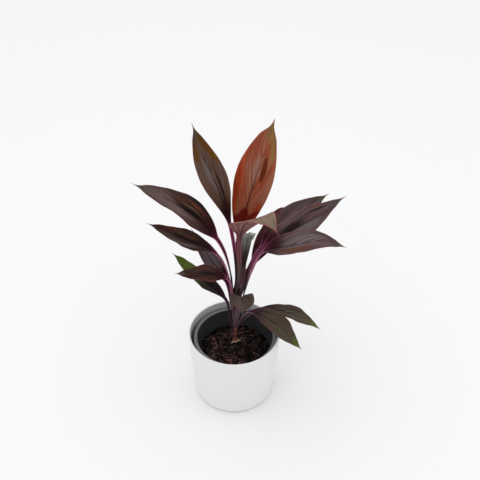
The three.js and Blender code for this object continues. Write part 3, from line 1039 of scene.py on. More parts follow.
@dataclass
class Leaf:
    """One leaf: a channelled petiole that opens into a waved, pleated blade.

    node is the height on the cane and side the compass angle at which the leaf leaves it. The midrib
    passes via (on the petiole), foot (where the blade starts), bows and tip. fold is the angle of the V
    at foot, middle and tip, and roll turns the blade. Lengths are in millimetres, angles in degrees.
    """

    node: float
    side: float
    foot: Point
    bows: list[Point]
    tip: Point
    width: float
    tone: Tone
    via: list[Point] = field(default_factory=list)
    fold: tuple[float, ...] = (38, 14, 6)
    roll: tuple[float, ...] = (0,)
    heading: float | None = None
    widest: float = 0.42
    fullness: float = 1.12
    wave: float = 1.2
    half_arc: float = 2.2
    foot_arc: float = 3.2
    tip_from: float = 0.84
    pinch: float = 0.7
    patches: tuple[Patch, ...] = ()
    form: LeafForm = LeafForm()

    def midrib(self) -> tuple[np.ndarray, np.ndarray, float]:
        """Follows the midrib through its points.

        Returns:
            Points close together on it, the length run at each, and the length at which the blade starts.
        """
        form, angle = self.form, math.radians(self.side)
        out = np.array([math.cos(angle), math.sin(angle), 0])
        start = np.array([*form.cane.centre, self.node]) + out * (form.cane.radius + form.cane_gap)
        leaves = start + out * form.lean + np.array([0, 0, form.rise])
        route = [start, leaves, *map(np.array, [*self.via, self.foot, *self.bows, self.tip])]
        points = smooth_route(route)
        run = np.concatenate([[0], np.cumsum(np.linalg.norm(np.diff(points, axis=0), axis=1))])
        steps = (len(points) - 1) // (len(route) - 1)
        return points, run, run[steps * (2 + len(self.via))]

    def axes(
        self, tangent: np.ndarray, along: np.ndarray, share: np.ndarray
    ) -> tuple[np.ndarray, np.ndarray]:
        """Directions across the leaf and out of its upper face.

        Args:
            tangent: Direction of the midrib at each row.
            along: Share of the petiole at each row.
            share: Share of the blade at each row.

        Returns:
            The two directions at each row.
        """
        heading = self.heading
        if heading is None:
            heading = math.degrees(math.atan2(self.tip[1] - self.foot[1], self.tip[0] - self.foot[0]))
        turn = (heading - self.side + 180) % 360 - 180
        angle = np.radians(self.side + turn * ease(self.form.turn_from, 1, along))
        across = np.stack([np.sin(angle), -np.cos(angle), np.zeros_like(angle)], axis=-1)
        across = unit(across - tangent * (across * tangent).sum(-1, keepdims=True))
        up = np.cross(across, tangent)
        roll = np.radians(spread(self.roll, share)) * ease(self.form.roll_from, 1, along)
        sine, cosine = np.sin(roll)[:, None], np.cos(roll)[:, None]
        return across * cosine + up * sine, up * cosine - across * sine

    def blade_half(self, share: np.ndarray) -> np.ndarray:
        """Works out the half width of the blade.

        Args:
            share: The shares of its length at which it is wanted.

        Returns:
            The half width at each.
        """
        power = math.log(0.5) / math.log(self.widest)
        bulge = np.maximum(np.sin(np.pi * share**power), 0) ** self.fullness
        return self.width / 2 * bulge * (1 - self.pinch * ease(self.tip_from, self.form.tip_to, share))

    def relief(self, share: np.ndarray, off: np.ndarray, side: np.ndarray, half: np.ndarray) -> np.ndarray:
        """Works out the waves, pleats and midrib groove over the plain section of the blade.

        Args:
            share: Share of the blade, a column.
            off: Share of the half width, a row.
            side: -1, 0 or 1 for the side of the midrib, a row.
            half: Half width, a column.

        Returns:
            The height at each row and column.
        """
        form = self.form
        swing = np.sin(2 * np.pi * (form.waves * share + form.phase * (side > 0)))
        finer = np.sin(2 * np.pi * (form.flutters * share + form.flutter_phase * side))
        wave = self.wave * off**2 * (swing + form.flutter * off**2 * finer) * np.sin(np.pi * share)
        groove = form.groove * hump(off * half, form.rib_half) * ease(*form.groove_fade, share)
        return wave + form.pleats_at(share, off) - groove

    def grid(self) -> LeafGrid:
        """Works out the leaf's points over both its faces.

        Returns:
            The points, and what the finish reads at them.
        """
        form = self.form
        rows = np.arange(form.stalk_rows + form.blade_rows + 1)
        along = np.minimum(rows / form.stalk_rows, 1.0) ** form.stalk_crowd
        share = np.maximum(rows - form.stalk_rows, 0) / form.blade_rows * form.tip_at
        points, run, foot_run = self.midrib()
        place = np.where(share > 0, foot_run + (run[-1] - foot_run) * share, foot_run * along)
        centre, tangent = (
            np.stack([np.interp(place, run, values[:, axis]) for axis in range(3)], axis=-1)
            for values in (points, np.gradient(points, run, axis=0)))
        across, up = (axis[:, None, :] for axis in self.axes(unit(tangent), along, share))

        share, along = share[:, None], along[:, None]
        side, off = form.columns()
        opening = ease(0, form.opens, share)
        sheath = 1 - ease(0, form.sheath_share, along)
        stalk_arc = self.half_arc + (self.foot_arc - self.half_arc) * ease(form.sheath_share, 1, along)
        stalk_half = (stalk_arc + (form.sheath_arc - stalk_arc) * sheath) * (1 - share) ** 2
        half = np.maximum(np.hypot(self.blade_half(share), stalk_half), form.tip_half)
        fold = np.radians(spread(self.fold, share))
        inner = fold * opening
        stalk_angle = np.radians(form.half_angle + (form.sheath_angle - form.half_angle) * sheath)
        outer = stalk_angle + (fold * form.margin_fold + form.least_bend - stalk_angle) * opening
        bend = inner + (outer - inner) * off
        reach = half / (outer - inner)
        sideways = side * reach * (np.sin(bend) - np.sin(inner))
        height = reach * (np.cos(inner) - np.cos(bend)) + self.relief(share, off, side, half) * opening
        upper = centre[:, None, :] + across * sideways[..., None] + up * height[..., None]

        thickness = form.thickness + (form.margin_thickness - form.thickness) * off**2
        thickness = form.stalk_wall + (thickness - form.stalk_wall) * opening
        thickness = thickness * (1 - form.tip_thinning * ease(*form.thin_tip, share))
        rib = form.rib * opening * (1 - share) * hump(off * half, form.rib_half)
        down = (thickness * np.cos(bend) + rib)[..., None]
        out = (thickness * side * np.sin(bend))[..., None]
        lower = upper + across * out - up * down
        return LeafGrid(upper, lower, share, along, opening, half, place[:, None], side, off)

    def readings(self, grid: LeafGrid, index: int) -> dict[str, np.ndarray]:
        """Works out what the finish reads at each vertex.

        Args:
            grid: The leaf's points.
            index: The leaf's number, which moves its colour clouds to a place of their own.

        Returns:
            The values of each attribute of the mesh.
        """
        form, whole = self.form, np.ones(grid.upper.shape[:2])
        vein = form.vein(grid.share, grid.off)
        length = grid.run[-1, 0] - grid.run[form.stalk_rows, 0]
        flow = np.where(grid.share > 0, vein * length, grid.off * grid.half)
        flow = flow + grid.side * form.side_shift * length
        place = np.stack([flow * MM, grid.run * MM * whole, form.leaf_shift * index * whole], axis=-1)
        values = {
            "share": grid.share, "stalk_share": grid.stalk_share, "opening": grid.opening, "vein": vein,
            "off_rib": grid.off * grid.half * MM, "off_margin": (1 - grid.off) * grid.half * MM,
        }
        for tint in Tint:
            values[f"patch_{tint.value}"] = sum(
                patch.depth(grid.share, grid.off * grid.side) for patch in self.patches if patch.tint is tint)
        readings = {name: np.tile((value * whole).ravel(), 2) for name, value in values.items()}
        readings["upper_face"] = np.repeat([1.0, 0.0], whole.size)
        readings["vein_place"] = np.tile(place.reshape(-1, 3), (2, 1))
        return readings

    def piece(self, index: int) -> Piece:
        """Closes the two faces of the leaf into one mesh.

        Args:
            index: The leaf's number.

        Returns:
            The leaf's piece, before it has a finish.
        """
        grid = self.grid()
        rows, columns = grid.upper.shape[:2]
        count = rows * columns
        vertices = np.concatenate([grid.upper.reshape(-1, 3), grid.lower.reshape(-1, 3)]) * MM
        faces = grid_faces(rows, columns)
        faces += [face[::-1] for face in grid_faces(rows, columns, start=count)]
        for row in range(rows - 1):
            first, last = row * columns, row * columns + columns - 1
            faces.append((first, first + columns, first + columns + count, first + count))
            faces.append((last, last + count, last + columns + count, last + columns))
        for column in range(columns - 1):
            tip = (rows - 1) * columns + column
            faces.append((column, column + count, column + 1 + count, column + 1))
            faces.append((tip, tip + 1, tip + 1 + count, tip + count))
        return Piece(f"ti_leaf_{index:02d}", vertices, faces, self.readings(grid, index))


LEAVES = [
    Leaf(104, 165, (-14, 24, 170), [(-55, 40, 201)], (-95, 52, 242), 36, Tone.LIME, via=[(-8, 22, 148)],
         roll=(0, -10, 0),
         patches=(Patch(Tint.OLIVE, 0.7, 0, 0.12, 0.5), Patch(Tint.DARK, 0.25, 0.3, 0.2, 0.6))),
    Leaf(108, 66, (39, 24, 147), [(84, 27, 137), (114, 26, 122)], (138, 24, 100), 32, Tone.OLIVE,
         roll=(0, -2, 4), widest=0.5,
         patches=(Patch(Tint.BLOOM, 0.4, -0.2, 0.3, 0.3, 0.45),
                  Patch(Tint.OLIVE, 0.75, 0.3, 0.15, 0.5, 0.6))),
    Leaf(114, -22, (25, 8, 158), [(66, -8, 145)], (105, -30, 112), 42, Tone.OLIVE, via=[(12, 10, 143)],
         patches=(Patch(Tint.BLOOM, 0.12, 0.05, 0.14, 0.25, 0.9),
                  Patch(Tint.OLIVE, 0.5, 0.15, 0.3, 0.25, 0.6), Patch(Tint.RUST, 0.35, 0.7, 0.25, 0.2, 0.6))),
    Leaf(121, -110, (8, 4, 177), [(11, -14, 211), (13, -32, 214)], (12, -49, 206), 37, Tone.TAUPE,
         via=[(3, 6, 140)], heading=-88, fold=(36, 28, 12), widest=0.66, fullness=0.5,
         wave=0.4, tip_from=0.74, pinch=0.92),
    Leaf(130, 230, (-10, -1, 236), [(-44, -6, 250)], (-89, -8, 253), 36, Tone.BURGUNDY,
         via=[(-1, 8, 160), (-3, 5, 200)], fold=(30, 12, 6), fullness=1.3,
         patches=(Patch(Tint.DARK, 0.35, 0.1, 0.25, 0.4, 0.7), Patch(Tint.BLOOM, 0.9, 0, 0.12, 0.8, 0.9),
                  Patch(Tint.RUST, 0.5, 0.75, 0.25, 0.2, 0.5))),
    Leaf(136, 132, (-11, 28, 202), [(-34, 42, 234)], (-65, 56, 287), 28, Tone.SLATE,
         via=[(-5, 22, 170)], heading=125, patches=(Patch(Tint.BLOOM, 0.4, 0, 0.4, 1, 0.75),)),
    Leaf(142, -10, (44, 12, 278), [(80, 4, 296), (128, -4, 314)], (165, -6, 302), 54, Tone.SLATE,
         via=[(11, 13, 168), (17, 13, 199), (28, 13, 241)], half_arc=2.8, widest=0.38,
         patches=(Patch(Tint.RUST, 0.42, 0.6, 0.22, 0.3), Patch(Tint.BLOOM, 0.5, -0.35, 0.3, 0.45, 0.8),
                  Patch(Tint.DARK, 0.08, -0.4, 0.12, 0.5), Patch(Tint.BLOOM, 0.4, 0.08, 0.2, 0.06, 0.9))),
    Leaf(148, 205, (-25, 17, 268), [(-74, 14, 302)], (-127, 10, 337), 36, Tone.BURGUNDY,
         via=[(-5, 13, 190), (-8, 15, 225)], half_arc=2.6, roll=(0, 12, 0), fullness=1.2,
         patches=(Patch(Tint.RUST, 0.66, 0.75, 0.16, 0.22, 0.9), Patch(Tint.OLIVE, 0.56, 0.42, 0.1, 0.1, 0.8),
                  Patch(Tint.RUST, 0.36, 0.45, 0.12, 0.2, 0.5), Patch(Tint.BLOOM, 0.6, -0.6, 0.3, 0.35, 0.9),
                  Patch(Tint.DARK, 0.42, 0.1, 0.3, 0.1, 0.8), Patch(Tint.DARK, 0.22, 0.2, 0.12, 0.8, 0.5))),
    Leaf(153, 18, (43, 24, 273), [(108, 44, 309)], (165, 50, 355), 44, Tone.SLATE,
         via=[(9, 19, 175), (16, 19, 200), (25, 20, 236)], roll=(0, -24, 0),
         patches=(Patch(Tint.DARK, 0.68, -0.5, 0.13, 0.14, 0.8), Patch(Tint.RUST, 0.7, -0.9, 0.15, 0.14),
                  Patch(Tint.DARK, 0.34, -0.2, 0.16, 0.35, 0.9), Patch(Tint.BLOOM, 0.45, 0.45, 0.25, 0.45),
                  Patch(Tint.OLIVE, 0.93, 0, 0.06, 0.7, 0.8))),
    Leaf(158, 114, (27, 35, 230), [(52, 54, 266), (84, 86, 288)], (115, 118, 247), 42, Tone.MAROON,
         via=[(9, 29, 202)]),
    Leaf(161, -48, (15, 13, 240), [(18, 15, 285), (23, 22, 306)], (29, 50, 266), 21, Tone.SAGE,
         via=[(11, 8, 198), (14.5, 12, 223)], half_arc=2.6, heading=-70, fold=(48, 40, 20), wave=0.3),
    Leaf(169, 38, (41, 37, 264), [(93, 68, 301)], (143, 82, 333), 42, Tone.SLATE,
         via=[(12, 24, 197), (17, 26, 212), (26, 29, 239)], roll=(0, -30, -10),
         patches=(Patch(Tint.BLOOM, 0.5, 0.1, 0.35, 0.7, 0.75), Patch(Tint.DARK, 0.5, -0.5, 0.2, 0.12, 0.4))),
    Leaf(173, 205, (-24, 23, 292), [(-77, 32, 348)], (-147, 34, 391), 54, Tone.BURGUNDY,
         via=[(-3, 15, 203), (-6, 19, 234)], half_arc=2.8, foot_arc=3.4, roll=(30, 0, 0), widest=0.44,
         fullness=1.2,
         patches=(Patch(Tint.DARK, 0.28, 0.12, 0.26, 0.14, 1.2), Patch(Tint.DARK, 0.14, 0, 0.1, 1, 0.6),
                  Patch(Tint.OLIVE, 0.36, 0.34, 0.16, 0.07, 0.9),
                  Patch(Tint.DARK, 0.3, 0.46, 0.22, 0.06, 0.6),
                  Patch(Tint.RUST, 0.34, 0.6, 0.22, 0.16, 0.65), Patch(Tint.DARK, 0.3, 0.85, 0.22, 0.12, 0.8),
                  Patch(Tint.BLOOM, 0.62, -0.5, 0.35, 0.45, 0.8),
                  Patch(Tint.BLOOM, 0.76, 0.3, 0.2, 0.7, 0.85))),
    Leaf(178, -76, (9, 6, 303), [(14, -1, 340), (27, -11, 361), (47, -25, 375)], (65, -46, 358), 59,
         Tone.PALE, via=[(5.5, 10.5, 205), (9, 8, 240)], half_arc=3, roll=(4, 4, -5, -9, 24), heading=-74,
         fold=(14, 0, 0), widest=0.48, wave=0.3, fullness=2),
    Leaf(183, 130, (-4, 16, 319), [(-17, 28, 368), (-43, 40, 438)], (-58, 44, 492), 40, Tone.BRONZE,
         via=[(3, 17, 212), (3, 18, 250)], foot_arc=2.6, heading=112, widest=0.5, fullness=1.4,
         patches=(Patch(Tint.OLIVE, 0.84, 0.5, 0.12, 0.4, 1.3), Patch(Tint.OLIVE, 0.67, 0.8, 0.09, 0.25, 1.2),
                  Patch(Tint.OLIVE, 0.72, -0.6, 0.12, 0.3, 0.7), Patch(Tint.BLOOM, 0.5, -0.15, 0.2, 0.3, 0.9),
                  Patch(Tint.DARK, 0.62, -0.02, 0.1, 0.08, 0.8), Patch(Tint.DARK, 0.34, 0.3, 0.2, 0.1, 1.1),
                  Patch(Tint.DARK, 0.14, 0.2, 0.12, 0.9, 0.7), Patch(Tint.OLIVE, 0.24, 0.6, 0.18, 0.14, 0.7),
                  Patch(Tint.RUST, 0.78, -0.9, 0.15, 0.15, 0.7))),
    # Backlit young leaf: its colours hold painted glow of light through it, and its foot patches are the
    # painted shadow of an overlapping leaf.
    Leaf(188, 45, (7, 30, 286), [(33, 46, 394)], (58, 52, 492), 60, Tone.EMBER, via=[(6, 23, 215)],
         half_arc=2.6, fold=(38, 24, 12), roll=(0, 14, 17, 14), heading=78, widest=0.5, fullness=1,
         patches=(Patch(Tint.DARK, 0.6, 0.33, 0.075, 0.11, 3), Patch(Tint.RUST, 0.4, -0.9, 0.25, 0.3),
                  Patch(Tint.RUST, 0.29, 0.75, 0.1, 0.25, 0.8), Patch(Tint.OLIVE, 0.88, 0.3, 0.08, 0.8, 0.9),
                  Patch(Tint.BLOOM, 0.55, -0.1, 0.22, 0.3, 0.6), Patch(Tint.OLIVE, 0.74, 0.7, 0.1, 0.25, 0.7),
                  Patch(Tint.RUST, 0.72, 0.1, 0.06, 0.1, 0.6), Patch(Tint.FOOT, 0.12, 0, 0.1, 0.35, 4),
                  Patch(Tint.FOOT, 0.15, 0.95, 0.1, 0.35, 4), Patch(Tint.FOOT, 0.08, -0.6, 0.08, 0.4, 4))),
]


@dataclass(frozen=True)
class CoverPot:
    """Round cover pot whose wall curves in towards its base."""

    top_radius: float = 70
    base_radius: float = 60.5
    height: float = 122
    wall: float = 2.6
    floor: float = 4
    corner: float = 7
    corner_steps: int = 7
    inner_corner: float = 3
    inner_steps: int = 7
    curve: float = 1.7
    rim_round: float = 1.2
    rim_steps: int = 11
    sides: int = 160
    wall_steps: int = 22
    # The darker inside colour is painted shade on the pot's inner wall.
    finish: PlasticFinish = PlasticFinish(
        name="cover_pot_plastic", colour=(0.79, 0.795, 0.8), inside=(0.54, 0.54, 0.55),
        dust=(0.76, 0.755, 0.745), roughness=0.42, relief=0.012 * MM, dusting=0.35,
    )

    def radius(self, height: float) -> float:
        """Outer radius at a height."""
        share = (self.height - height) / (self.height - self.corner)
        return self.top_radius - (self.top_radius - self.base_radius) * max(share, 0) ** self.curve

    def profile(self) -> list[Pair]:
        """Draws the pot's profile.

        Returns:
            Radius and height of each point, up the outside and down the inside.
        """
        foot = self.radius(self.corner) - self.corner
        turn = 90 / (self.corner_steps + 1)
        points = [(0.0, 0.0), (foot, 0.0)]
        points += arc((foot, self.corner), (self.corner, self.corner), turn - 90, -turn, self.corner_steps)
        wall = np.linspace(self.corner, self.height - self.rim_round, self.wall_steps)
        points += [(self.radius(height), height) for height in wall]
        turn = 180 / (self.rim_steps + 1)
        rim = (self.top_radius - self.wall / 2, self.height - self.rim_round)
        points += arc(rim, (self.wall / 2, self.rim_round), turn, 180 - turn, self.rim_steps)
        low = self.floor + self.inner_corner
        points += [(self.radius(height) - self.wall, height) for height in wall[::-1] if height > low]
        corner = (self.radius(low) - self.wall - self.inner_corner, low)
        points += arc(corner, (self.inner_corner, self.inner_corner), 0, -90, self.inner_steps)
        return [*points, (0.0, self.floor)]

    def build(self) -> None:
        """Builds the pot and dresses it."""
        profile = self.profile()
        vertices, faces = turned(profile, self.sides)
        rim = max(range(len(profile)), key=lambda index: profile[index][1])
        # Marks the inner wall, which gets the painted shade.
        inside = ring_marks([index > rim for index in range(len(profile))], self.sides)
        piece = Piece("cover_pot_shell", vertices * MM, faces, {"inside": inside})
        piece.make(self.finish.material(), "cover_pot", "cover_pot")


@dataclass(frozen=True)
class GrowPot:
    """Thin grow pot with a turned-over lip, a little off the middle of the cover pot."""

    centre: Pair = (1.5, 1)
    rim_radius: float = 64.2
    mouth_radius: float = 58.9
    base_radius: float = 48.7
    base: float = 4.3
    rim_top: float = 111
    lip_height: float = 8
    wall: float = 1.2
    corner: float = 2
    inner_corner: float = 1.5
    neck_round: float = 0.5
    fold_round: float = 0.4
    lip_round: float = 0.3
    rim_round: float = 0.7
    # How far down from the rim's top the painted highlight on the lip reaches.
    rubbed: float = 0.5
    sides: int = 144
    drains: int = 6
    drain_ring: float = 32
    drain_radius: float = 4
    drain_cut: float = 4.8
    drain_sides: int = 24
    # Its inside colour is the pale painted highlight on the lip's top.
    finish: PlasticFinish = PlasticFinish(
        name="grow_pot_plastic", colour=(0.03, 0.032, 0.036), inside=(0.17, 0.17, 0.17),
        dust=(0.07, 0.068, 0.064), roughness=0.46, relief=0.03 * MM, dusting=0.5,
    )

    def inner(self, height: float) -> float:
        """Works out the pot's inner radius.

        Args:
            height: The height at which it is wanted.

        Returns:
            The inner radius there.
        """
        low = self.base + self.wall
        share = (height - low) / (self.rim_top - low)
        return self.base_radius - self.wall + (self.mouth_radius - self.base_radius + self.wall) * share

    def profile(self) -> list[Pair]:
        """Draws the pot's profile.

        Returns:
            Radius and height of each point, up the outside and down the inside.
        """
        base, floor = self.base, self.base + self.wall
        top, under, lip = self.rim_top, self.rim_top - self.wall, self.rim_top - self.lip_height
        return rounded([
            (0, base, 0), (self.base_radius, base, self.corner),
            (self.inner(under) + self.wall, under, self.neck_round),
            (self.rim_radius - self.wall, under, self.fold_round),
            (self.rim_radius - self.wall, lip, self.lip_round), (self.rim_radius, lip, self.lip_round),
            (self.rim_radius, top, self.rim_round), (self.mouth_radius, top, self.rim_round),
            (self.inner(floor), floor, self.inner_corner), (0, floor, 0),
        ])

    def cut_drains(self, piece: bpy.types.Object) -> None:
        """Cuts the drain holes through the pot's floor.

        Args:
            piece: The pot's object, whose mesh gets the holes.
        """
        radius, high = self.drain_radius, self.drain_cut
        low = self.base - (high - self.wall) / 2
        top = low + high
        vertices, faces = turned([(0, low), (radius, low), (radius, top), (0, top)], self.drain_sides)
        for turn in once_round(self.drains):
            x = self.centre[0] + self.drain_ring * math.cos(turn)
            y = self.centre[1] + self.drain_ring * math.sin(turn)
            mesh = bpy.data.meshes.new("drain")
            mesh.from_pydata(((vertices + [x, y, 0]) * MM).tolist(), [], faces)
            cutter = placed("drain", mesh)
            modifier = piece.modifiers.new("drain", "BOOLEAN")
            modifier.operation = "DIFFERENCE"
            modifier.object = cutter
            bpy.context.view_layer.update()
            cut = piece.evaluated_get(bpy.context.evaluated_depsgraph_get())
            piece.modifiers.clear()
            piece.data = bpy.data.meshes.new_from_object(cut)
            bpy.data.objects.remove(cutter)

    def build(self) -> None:
        """Builds the pot, whose lip top is painted pale as a painted highlight, and dresses it."""
        profile = self.profile()
        vertices, faces = turned(profile, self.sides)
        # Marks the lip's top, which gets the painted highlight.
        rubbed = ring_marks([height > self.rim_top - self.rubbed for _, height in profile], self.sides)
        piece = Piece("grow_pot_shell", (vertices + [*self.centre, 0]) * MM, faces, {"inside": rubbed})
        self.cut_drains(piece.make(self.finish.material(), "grow_pot", "nursery_pot"))


@dataclass(frozen=True)
class Crumbs:
    """Sizes and shades of the crumbs and chips on the soil."""

    count: int = 2600
    wall_gap: float = 1.5
    least: float = 0.5
    grain: float = 0.55
    gamma: Pair = (1.7, 0.6)
    largest: float = 2.8
    stretch: tuple[Band, Band, Band] = ((0.8, 2.6), (0.6, 1.1), (0.35, 0.9))
    jitter: float = 0.28
    tilt: float = 0.4
    shade: Pair = (1.8, 2.8)
    brightest: float = 0.93
    # Painted light: the crumbs are painted lighter towards the front of the pot, over this band.
    front: Band = (-14, -48)
    front_light: float = 0.5
    dimming: float = 0.14
    cloud: float = 0.55
    cloud_size: float = 13

    @staticmethod
    def lump() -> tuple[np.ndarray, Faces]:
        """Makes the plain lump that every crumb starts from.

        Returns:
            The twelve corners and twenty outward faces of the lump.
        """
        golden = (1 + math.sqrt(5)) / 2
        points = np.array([(s, t * golden, 0) for s in (-1, 1) for t in (-1, 1)], float)
        points = np.concatenate([points, points[:, [2, 0, 1]], points[:, [1, 2, 0]]]) / golden
        edges = np.isclose(np.linalg.norm(points[:, None] - points, axis=-1), 2 / golden)
        faces = []
        for a, b, c in combinations(range(len(points)), 3):
            if edges[a, b] and edges[b, c] and edges[a, c]:
                out = np.dot(np.cross(points[b] - points[a], points[c] - points[a]), points[a]) > 0
                faces.append((a, b, c) if out else (c, b, a))
        return points, faces

    def bodies(self, draw: np.random.Generator, lump: np.ndarray, count: int) -> np.ndarray:
        """Draws the crumbs' bodies, each a jittered, stretched, tilted and turned lump.

        Args:
            draw: The seeded generator.
            lump: The corners of the lump that each starts from.
            count: How many crumbs there are.

        Returns:
            The corners of each crumb about its middle.
        """
        size = np.minimum(self.least + self.grain * draw.gamma(*self.gamma, count), self.largest)
        stretch = np.stack([draw.uniform(*band, count) for band in self.stretch], axis=-1)
        body = lump * (1 + draw.uniform(-self.jitter, self.jitter, (count, len(lump), 1)))
        body = body * (stretch * size[:, None])[:, None, :]
        turn, tilt = draw.random(count)[:, None] * 2 * np.pi, draw.normal(0, self.tilt, count)[:, None]
        x = body[..., 0] * np.cos(tilt) - body[..., 2] * np.sin(tilt)
        z = body[..., 0] * np.sin(tilt) + body[..., 2] * np.cos(tilt)
        across = x * np.cos(turn) - body[..., 1] * np.sin(turn)
        along = x * np.sin(turn) + body[..., 1] * np.cos(turn)
        return np.stack([across, along, z], axis=-1)

    def shades(self, draw: np.random.Generator, places: np.ndarray) -> np.ndarray:
        """Draws each crumb's shade, which is lighter in clouds and, as painted light, towards the front.

        Args:
            draw: The seeded generator.
            places: Where the crumbs lie.

        Returns:
            The shades, from 0 for near black to 1 for straw.
        """
        # Painted light: lighter towards the front.
        front = self.front_light * ease(*self.front, places[:, 1]) - self.dimming
        cloud = np.array([self.cloud * noise.noise(Vector(place) / self.cloud_size) for place in places])
        return np.clip(draw.beta(*self.shade, len(places)) + front + cloud, 0, self.brightest)


@dataclass(frozen=True)
class Fibres:
    """Sizes and shades of the fibres on the soil."""

    count: int = 360
    wall_gap: float = 8
    edge_gap: float = 2
    bend: float = 1.3
    length: Band = (3, 16)
    radius: Band = (0.1, 0.26)
    taper: float = 0.6
    base: float = 0.4
    lift: Band = (0.4, 1.6)
    steps: int = 7
    sides: int = 4
    straw: float = 0.25
    shade: Band = (0.3, 0.85)


@dataclass(frozen=True)
class Soil:
    """Damp peat bed with crumbs of bark and fine fibres on it."""

    pot: GrowPot
    cane: Cane
    crumbs: Crumbs = Crumbs()
    fibres: Fibres = Fibres()
    gap: float = 0.3
    edge_top: float = 79
    rise: float = 5.5
    lump: float = 1.1
    fine_share: float = 0.6
    coarse: Pair = (7.1, 6.3)
    fine: Pair = (3.4, 4.3)
    phases: tuple[float, float, float] = (1.3, -0.4, 2.1)
    rough: float = 0.8
    rough_size: float = 3.2
    rough_slice: float = 0.5
    rough_layers: tuple[float, float, int] = (0.8, 2.2, 4)
    hole_clear: float = 1
    foot: float = 3
    crowd: float = 0.9
    shade: float = 0.34
    shade_swing: float = 0.3
    shade_size: float = 9
    rings: int = 60
    sides: int = 180
    finish: PeatFinish = PeatFinish()

    def height(self, x: np.ndarray, y: np.ndarray) -> np.ndarray:
        """Works out the height of the bed's surface.

        Args:
            x: How far right each place at which it is wanted is, in millimetres.
            y: How far back each is.

        Returns:
            The height at each.
        """
        x, y = x - self.pot.centre[0], y - self.pot.centre[1]
        share = np.minimum(np.hypot(x, y) / (self.pot.inner(self.edge_top) - self.gap), 1)
        coarse = np.sin(x / self.coarse[0] + self.phases[0]) * np.cos(y / self.coarse[1] + self.phases[1])
        fine = np.sin(x / self.fine[0] - y / self.fine[1] + self.phases[2])
        lumps = self.lump * (coarse + self.fine_share * fine) * (1 - share**4)
        places = np.column_stack([x, y]) / self.rough_size
        rough = [noise.fractal((*place, self.rough_slice), *self.rough_layers) for place in places]
        return self.edge_top + self.rise * (1 - share**2) + lumps + self.rough * np.array(rough)

    def bed(self) -> Piece:
        """Builds the bed of the soil.

        Returns:
            The bed's piece, closed below and round the cane's hole.
        """
        angles = once_round(self.sides)
        ring = np.stack([np.cos(angles), np.sin(angles)], axis=-1)
        low = self.pot.base + self.pot.wall + self.gap
        hole_bottom = self.cane.low - self.gap
        pot_centre, cane_centre = np.array(self.pot.centre), np.array(self.cane.centre)
        hole = cane_centre + ring * (self.cane.foot_radius + self.gap)
        rim = pot_centre + ring * (self.pot.inner(self.edge_top) - self.gap)
        layers = [np.column_stack([hole, np.full(self.sides, hole_bottom)])]
        for share in np.linspace(0, 1, self.rings) ** self.crowd:
            flat = hole + (rim - hole) * share
            layers.append(np.column_stack([flat, self.height(*flat.T)]))
        high = low + self.foot
        for height, gap in ((high, self.gap), (low, self.foot)):
            foot = pot_centre + ring * (self.pot.inner(height) - gap)
            layers.append(np.column_stack([foot, np.full(self.sides, height)]))
        vertices = np.concatenate([*layers, [[*cane_centre, hole_bottom], [*pot_centre, low]]])
        faces = [face[::-1] for face in capped_faces(len(layers), self.sides)]
        cloud = np.array([noise.noise(Vector(vertex) / self.shade_size) for vertex in vertices])
        return Piece("soil_bed", vertices * MM, faces, {"shade": self.shade + self.shade_swing * cloud})

    def scatter(self, draw: np.random.Generator, count: int, inset: float) -> np.ndarray:
        """Draws places on the bed.

        Args:
            draw: The seeded generator.
            count: How many places are wanted.
            inset: How far from the pot's wall they stay.

        Returns:
            The places, in millimetres, clear of the cane.
        """
        reach = (self.pot.inner(self.edge_top) - inset) * np.sqrt(draw.random(count))
        turn = draw.random(count) * 2 * np.pi
        x = self.pot.centre[0] + reach * np.cos(turn)
        y = self.pot.centre[1] + reach * np.sin(turn)
        hole = self.cane.foot_radius + self.gap
        clear = np.hypot(x - self.cane.centre[0], y - self.cane.centre[1]) > hole + self.hole_clear
        x, y = x[clear], y[clear]
        return np.column_stack([x, y, self.height(x, y)])

    def crumb_piece(self) -> Piece:
        """Scatters the crumbs and chips of bark.

        Returns:
            Their piece, in which each is a lump of its own size and shade.
        """
        draw = np.random.default_rng(SEED)
        lump, sides = self.crumbs.lump()
        places = self.scatter(draw, self.crumbs.count, self.crumbs.wall_gap)
        bodies = self.crumbs.bodies(draw, lump, len(places)) + places[:, None, :]
        faces = [tuple(start + corner for corner in side)
                 for start in range(0, len(lump) * len(places), len(lump)) for side in sides]
        shade = np.repeat(self.crumbs.shades(draw, places), len(lump))
        return Piece("soil_crumbs", bodies.reshape(-1, 3) * MM, faces, {"shade": shade}, smooth=False)

    def fibre_piece(self) -> Piece:
        """Scatters the fine fibres.

        Returns:
            Their piece, in which each lies bent over the crumbs.
        """
        draw = np.random.default_rng(SEED + 1)
        fibres, tubes, shade = self.fibres, Tubes(self.fibres.sides), []
        steps = np.linspace(0, 1, fibres.steps)
        limit = self.pot.inner(self.edge_top) - fibres.edge_gap
        for start in self.scatter(draw, fibres.count, fibres.wall_gap):
            angle = draw.random() * 2 * np.pi + draw.normal(0, fibres.bend) * steps
            length, radius = draw.uniform(*fibres.length), draw.uniform(*fibres.radius)
            lift = draw.uniform(*fibres.lift)
            run = np.cumsum(np.stack([np.cos(angle), np.sin(angle)], axis=-1), axis=0) * length / fibres.steps
            off = start[:2] + run - self.pot.centre
            off *= np.minimum(1, limit / np.linalg.norm(off, axis=-1, keepdims=True))
            flat = off + self.pot.centre
            height = self.height(*flat.T) + fibres.base + lift * np.sin(np.pi * steps)
            count = tubes.add(np.column_stack([flat, height]), radius * (1 - fibres.taper * steps))
            shade += [1.0 if draw.random() < fibres.straw else draw.uniform(*fibres.shade)] * count
        return Piece("soil_fibres", np.array(tubes.vertices) * MM, tubes.faces, {"shade": np.array(shade)})

